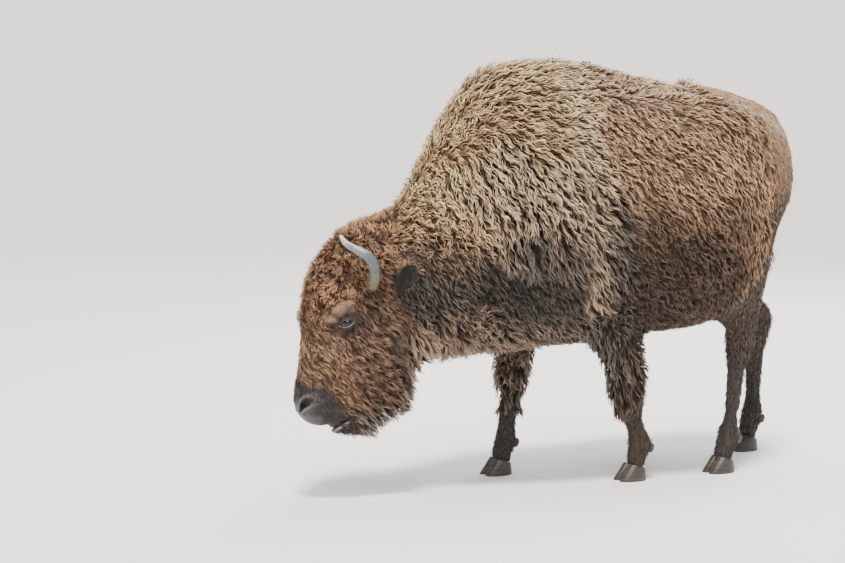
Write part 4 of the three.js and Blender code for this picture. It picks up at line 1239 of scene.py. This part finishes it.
def paint_skin():
    """Colours the skin: the coat's own colours under the locks, darker where they grow thick as painted shade
    under them, and the markings of the bare face, with painted shade in its hollows and creases and painted
    highlights on the nostrils' rims.
    """
    at = points_of(skin.data)
    coat = survey(at)
    head = both_sides(to_head(at))
    face = in_front(at)
    dense = np.clip(coat["dense"] / FULL_COAT, 0, 1)[:, None]
    # Darker where the locks grow thicker: painted shade that the coat casts on the skin.
    colour = coat["root"] * (0.35 + 0.55 * dense) + coat["tip"] * (0.35 - 0.25 * dense)

    def tint(target, strength):
        nonlocal colour
        strength = np.clip(strength, 0, 1)[:, None]
        colour = colour * (1 - strength) + target * strength

    # Round the eye: the fold above it, its socket, its lids, and painted shade in the crease round them.
    back, up, _ = eye_place(head)
    edge = lid_distance(back, up)
    from_eye = np.linalg.norm(head - EYE_CENTRE, axis=1)
    by_eye = from_eye < 0.055
    above = by_line(head, BROW_LINE[1:])
    fold = bell(above, 0.026, 0.012) * smoothstep(0.012, 0.022, up)
    tint(FOLD_PALE, 0.6 * fold * (from_eye < 0.08))
    tint(SOCKET_DARK, 0.6 * smoothstep(0.062, 0.036, from_eye) * (up < 0.014))
    tint(LID_PALE, by_eye * bell(edge, 1.22, 0.16) * (0.14 + 0.50 * (up < 0)))
    tint(LID_DARK_AND_CREASE_SHADE, by_eye * smoothstep(1.12, 1.0, edge))
    tint(LID_DARK_AND_CREASE_SHADE, by_eye * 0.5 * bell(edge, 1.50, 0.12))

    # The rim of the nostril, pale and with a painted highlight, palest at its lower end; and its inside
    # painted dark as shade in the hollow.
    on_nose = (head[:, 0] > 0.57) & (head[:, 2] > -0.07)
    rim = nostril_place(head)
    low = smoothstep(0.030, -0.020, (head - NOSTRIL_MIDDLE) @ NOSTRIL_WAY)
    tint(NOSTRIL_RIM_PALE_AND_HIGHLIGHT, on_nose * bell(rim, 1.42, 0.24) * (0.18 + 0.42 * low))
    tint(HOLLOW_SHADE, on_nose * smoothstep(1.15, 0.80, rim))

    # The line of the mouth, painted dark as shade in its groove, with the pale lip under it.
    lower = below_mouth(head)
    at_mouth = smoothstep(0.630, 0.655, head[:, 0]) * face
    tint(LIP_PALE, at_mouth * 0.55 * bell(lower, 0.010, 0.0042))
    tint(HOLLOW_SHADE, at_mouth * bell(lower, 0, 0.0048))

    bare = np.clip(1 - coat["dense"] / BARE_COAT, 0, 1) * face
    wet = bare * smoothstep(0.60, 0.64, head[:, 0]) * smoothstep(-0.06, -0.03, head[:, 2])
    wet = np.maximum(wet, 0.8 * by_eye * smoothstep(1.4, 1.1, edge))
    give(skin.data.attributes, "Bare", "FLOAT", "value", bare)
    give(skin.data.attributes, "Wet", "FLOAT", "value", wet)
    colour = np.column_stack((np.clip(colour, 0, 1), np.ones(len(colour))))
    give(skin.data.color_attributes, "Coat", "FLOAT_COLOR", "color", colour)
    skin.data.materials.clear()
    skin.data.materials.append(HIDE)


paint_skin()
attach(skin, "root")
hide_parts(*FLESH)

RING_STEPS = (0.022, 0.037, 0.047)  # a lock has two rings, and one more past each of these lengths
PIECE = 190000  # triangles in a piece of the coat, at most


def grow_coat():
    """Pieces by the number of their locks' rings, and from nose to tail."""
    seeds = sow()
    comb(seeds)
    rings = 2 + np.searchsorted(RING_STEPS, seeds["long"])
    for number in (2, 3, 4, 5):
        chosen = np.flatnonzero(rings == number)
        chosen = chosen[np.argsort(seeds["at"][chosen, 0])]
        pieces = math.ceil(len(chosen) * len(lock_faces(number)) / PIECE)
        for order, part in enumerate(np.array_split(chosen, pieces)):
            chosen_seeds = {key: value[part] for key, value in seeds.items()}
            make_coat(f"coat_{number}_{order + 1}", chosen_seeds, number)


grow_coat()


# ---------------------------------------------------------------- eyes, horns and hooves
def sweep(path, radius, sides, rings):
    """A bmesh round bar along a smooth curve: a circle pushed out ring by ring, with its way along it."""
    curve = smooth_path(path, rings)
    bm = bmesh.new()
    way = bm.verts.layers.float.new("Along")
    ends = bmesh.ops.create_circle(bm, segments=sides, radius=1)["verts"]
    edges = list({edge for vert in ends for edge in vert.link_edges})
    place = ring_place(curve, 0, radius(0))
    bmesh.ops.transform(bm, matrix=place, verts=ends)
    bmesh.ops.contextual_create(bm, geom=edges)
    for ring in range(1, rings + 1):
        made = bmesh.ops.extrude_edge_only(bm, edges=edges)["geom"]
        verts = [g for g in made if isinstance(g, bmesh.types.BMVert)]
        edges = [g for g in made if isinstance(g, bmesh.types.BMEdge)]
        step = ring_place(curve, ring, radius(ring / rings))
        bmesh.ops.transform(bm, matrix=step @ place.inverted(), verts=verts)
        place = step
        for vert in verts:
            vert[way] = ring / rings
    bmesh.ops.contextual_create(bm, geom=edges)
    bmesh.ops.recalc_face_normals(bm, faces=bm.faces)
    return bm


def smooth_path(points, rings):
    """Points evenly along a smooth curve through the given ones."""
    points = np.array(points, float)
    ends = np.vstack((2 * points[0] - points[1], points, 2 * points[-1] - points[-2]))
    fine = []
    for n in range(len(points) - 1):
        p0, p1, p2, p3 = ends[n:n + 4]
        for t in np.linspace(0, 1, 24, endpoint=False):
            fine.append(0.5 * (2 * p1 + (p2 - p0) * t + (2 * p0 - 5 * p1 + 4 * p2 - p3) * t ** 2
                               + (3 * p1 - p0 - 3 * p2 + p3) * t ** 3))
    fine.append(points[-1])
    fine = np.array(fine)
    run = np.concatenate(([0], np.cumsum(np.linalg.norm(np.diff(fine, axis=0), axis=1))))
    even = np.linspace(0, run[-1], rings + 1)
    return np.column_stack([np.interp(even, run, fine[:, axis]) for axis in range(3)])


def ring_place(curve, ring, radius):
    """Where a circle of radius 1 goes to become a ring of the bar."""
    ahead = Vector(curve[min(ring + 1, len(curve) - 1)] - curve[max(ring - 1, 0)])
    facing = Vector((0, 0, 1)).rotation_difference(ahead).to_matrix().to_4x4()
    return Matrix.Translation(curve[ring]) @ facing @ Matrix.Scale(radius, 4)


def finish_piece(name, bm, material, slot, *replaced):
    """Makes a bmesh a finished piece in place of the CAD nodes that it replaces."""
    mesh = bpy.data.meshes.new(name)
    bm.to_mesh(mesh)
    bm.free()
    mesh.shade_smooth()
    mesh.materials.append(material)
    piece = link(name, mesh)
    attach(piece, "root")
    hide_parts(*replaced)


# Along the middle of the horn, in the head's frame.
HORN_PATH = ((0.200, 0.092, -0.065), (0.173, 0.150, -0.065), (0.136, 0.194, -0.052), (0.102, 0.212, -0.021),
             (0.088, 0.204, 0.023), (0.074, 0.180, 0.066), (0.049, 0.148, 0.090))
HORN_ROOT = 0.022
HORN_TIP = 0.005
HORN_SIDES, HORN_RINGS = 28, 90


def horn_radius(t):
    """The horn tapers late, with low growth rings near its root."""
    rings = 0.0008 * math.sin(2 * math.pi * 17 * t) * max(0, 1 - 1.9 * t)
    blunt = math.sqrt(max(1 - max((t - 0.95) / 0.05, 0) ** 2, 0.02))
    return (HORN_ROOT + (HORN_TIP - HORN_ROOT) * t ** 2.4 + rings) * blunt


def make_horns():
    for label, side in SIDES:
        path = [from_head((along, across * side, out)) for along, across, out in HORN_PATH]
        bm = sweep(path, horn_radius, HORN_SIDES, HORN_RINGS)
        finish_piece(f"horn_{label}_finished", bm, HORN, "horn", f"horn_{label}")


BEHIND = 2  # the value on the back of the eyeball, far out of the pupil


def make_eyes():
    for label, side in SIDES:
        bm = bmesh.new()
        bmesh.ops.create_uvsphere(bm, u_segments=40, v_segments=24, radius=EYE_RADIUS)
        lengthwise = bm.verts.layers.float.new("Long")
        upright = bm.verts.layers.float.new("High")
        gaze, back, up = (axis * (1, side, 1) for axis in (EYE_GAZE, *eye_axes()))
        for vert in bm.verts:
            out = np.array(vert.co) / EYE_RADIUS
            vert[lengthwise] = out @ back if out @ gaze > 0 else BEHIND
            vert[upright] = out @ up if out @ gaze > 0 else BEHIND
        middle = from_head(EYE_CENTRE * (1, side, 1))
        place = Matrix.Translation(middle) @ HEAD.to_3x3().to_4x4()
        bmesh.ops.transform(bm, matrix=place, verts=bm.verts)
        finish_piece(f"eye_{label}_finished", bm, EYE, "eye", f"eye_{label}")


def softened_copy(node, bevel, levels):
    """A CAD node's own shape with its edges rounded."""
    bm = bmesh.new()
    bm.from_mesh(nodes[node].data)
    bmesh.ops.remove_doubles(bm, verts=bm.verts, dist=1e-5)
    bmesh.ops.dissolve_limit(bm, angle_limit=math.radians(2), verts=bm.verts, edges=bm.edges)
    if bevel:
        sharp = [e for e in bm.edges if len(e.link_faces) == 2 and e.calc_face_angle() > math.radians(50)]
        bmesh.ops.bevel(bm, geom=sharp, offset=bevel, segments=3, profile=0.5, affect="EDGES", material=-1)
    bmesh.ops.triangulate(bm, faces=bm.faces)
    for _ in range(levels):
        bmesh.ops.subdivide_edges(bm, edges=bm.edges, cuts=1, smooth=1.0, use_grid_fill=True)
    return bm


CLAW_BEVEL = 0.004
DEWCLAW_SCALE = (0.85, 0.85, 1.0)
DEWCLAW_OUT = 0.004  # from the skin to its middle


def seat(bm, hide):
    """Moves a dewclaw onto the back of the pastern, half sunk in its hair."""
    middle = Vector(np.mean([v.co for v in bm.verts], axis=0))
    place, normal, _, _ = hide.find_nearest(middle)
    bmesh.ops.scale(bm, vec=DEWCLAW_SCALE, space=Matrix.Translation(-middle), verts=bm.verts)
    bmesh.ops.translate(bm, vec=place + DEWCLAW_OUT * normal - middle, verts=bm.verts)
    return bm


def make_hooves():
    hide = BVHTree.FromPolygons(points_of(skin.data).tolist(), faces_of(skin.data))
    for leg in LEGS:
        for label, _ in SIDES:
            claw = f"{leg}_claw_{label}"
            finish_piece(claw + "_finished", softened_copy(claw, CLAW_BEVEL, 0), HOOF, "hoof", claw)
            dewclaw = f"{leg}_dewclaw_{label}"
            bm = seat(softened_copy(dewclaw, 0, 2), hide)
            finish_piece(dewclaw + "_finished", bm, HOOF, "hoof", dewclaw)


make_horns()
make_eyes()
make_hooves()

# ---------------------------------------------------------------- floor and light
FLOOR_FLAT = 16  # radius of its level part, in metres
FLOOR_EDGE = 28
FLOOR_RISE = 12
FLOOR_STEPS = 12
FLOOR_COLOUR = (0.74, 0.73, 0.72, 1)


def add_floor():
    """A level floor that curves up far away, so that no edge shows."""
    bm = bmesh.new()
    verts = [bm.verts.new((0, 0, 0))]
    for step in range(FLOOR_STEPS + 1):
        share = step / FLOOR_STEPS
        radius = FLOOR_FLAT + (FLOOR_EDGE - FLOOR_FLAT) * share
        verts.append(bm.verts.new((radius, 0, FLOOR_RISE * share ** 2)))
    edges = [bm.edges.new(pair) for pair in zip(verts, verts[1:])]
    bmesh.ops.spin(bm, geom=verts + edges, cent=(0, 0, 0), axis=(0, 0, 1), angle=2 * math.pi, steps=96,
                   use_merge=True)
    bmesh.ops.remove_doubles(bm, verts=bm.verts, dist=1e-4)
    bmesh.ops.recalc_face_normals(bm, faces=bm.faces)
    mesh = bpy.data.meshes.new("floor")
    bm.to_mesh(mesh)
    bm.free()
    mesh.shade_smooth()
    material, _, shader = new_finish("floor", 0.9)
    shader.inputs["Base Color"].default_value = FLOOR_COLOUR
    mesh.materials.append(material)
    link("floor", mesh)


SUN_WAY = Vector((0.20, 0.32, -1))
SUN_ENERGY = 5.6
SUN_ANGLE = 0.20  # soft, like a sun behind thin cloud
SUN_COLOUR = (1, 0.97, 0.93)
# The soft lamps: name, place, height that each faces, size, watts and colour.
LAMPS = (("key", (-3.5, -4.5, 6.5), 0.8, 3.0, 420, (1, 0.97, 0.92)),
         ("top", (1.5, 1.0, 6.0), 0.8, 4.0, 420, (0.96, 0.98, 1)),
         ("rim", (5.0, 3.5, 4.0), 0.9, 3.0, 260, (1, 0.98, 0.95)))
WORLD_COLOUR = (0.97, 0.98, 1, 1)
WORLD_STRENGTH = 0.42


def add_lights():
    data = bpy.data.lights.new("sun", "SUN")
    data.energy, data.angle, data.color = SUN_ENERGY, SUN_ANGLE, SUN_COLOUR
    aim(link("sun", data), SUN_WAY)
    for name, at, height, size, power, colour in LAMPS:
        data = bpy.data.lights.new(name, "AREA")
        data.energy, data.size, data.color = power, size, colour
        lamp = link(name, data)
        lamp.location = at
        aim(lamp, Vector((0, 0, height)) - Vector(at))
    world = bpy.data.worlds.new("studio")
    world.use_nodes = True
    background = world.node_tree.nodes["Background"]
    background.inputs["Color"].default_value = WORLD_COLOUR
    background.inputs["Strength"].default_value = WORLD_STRENGTH
    bpy.context.scene.world = world


add_floor()
add_lights()
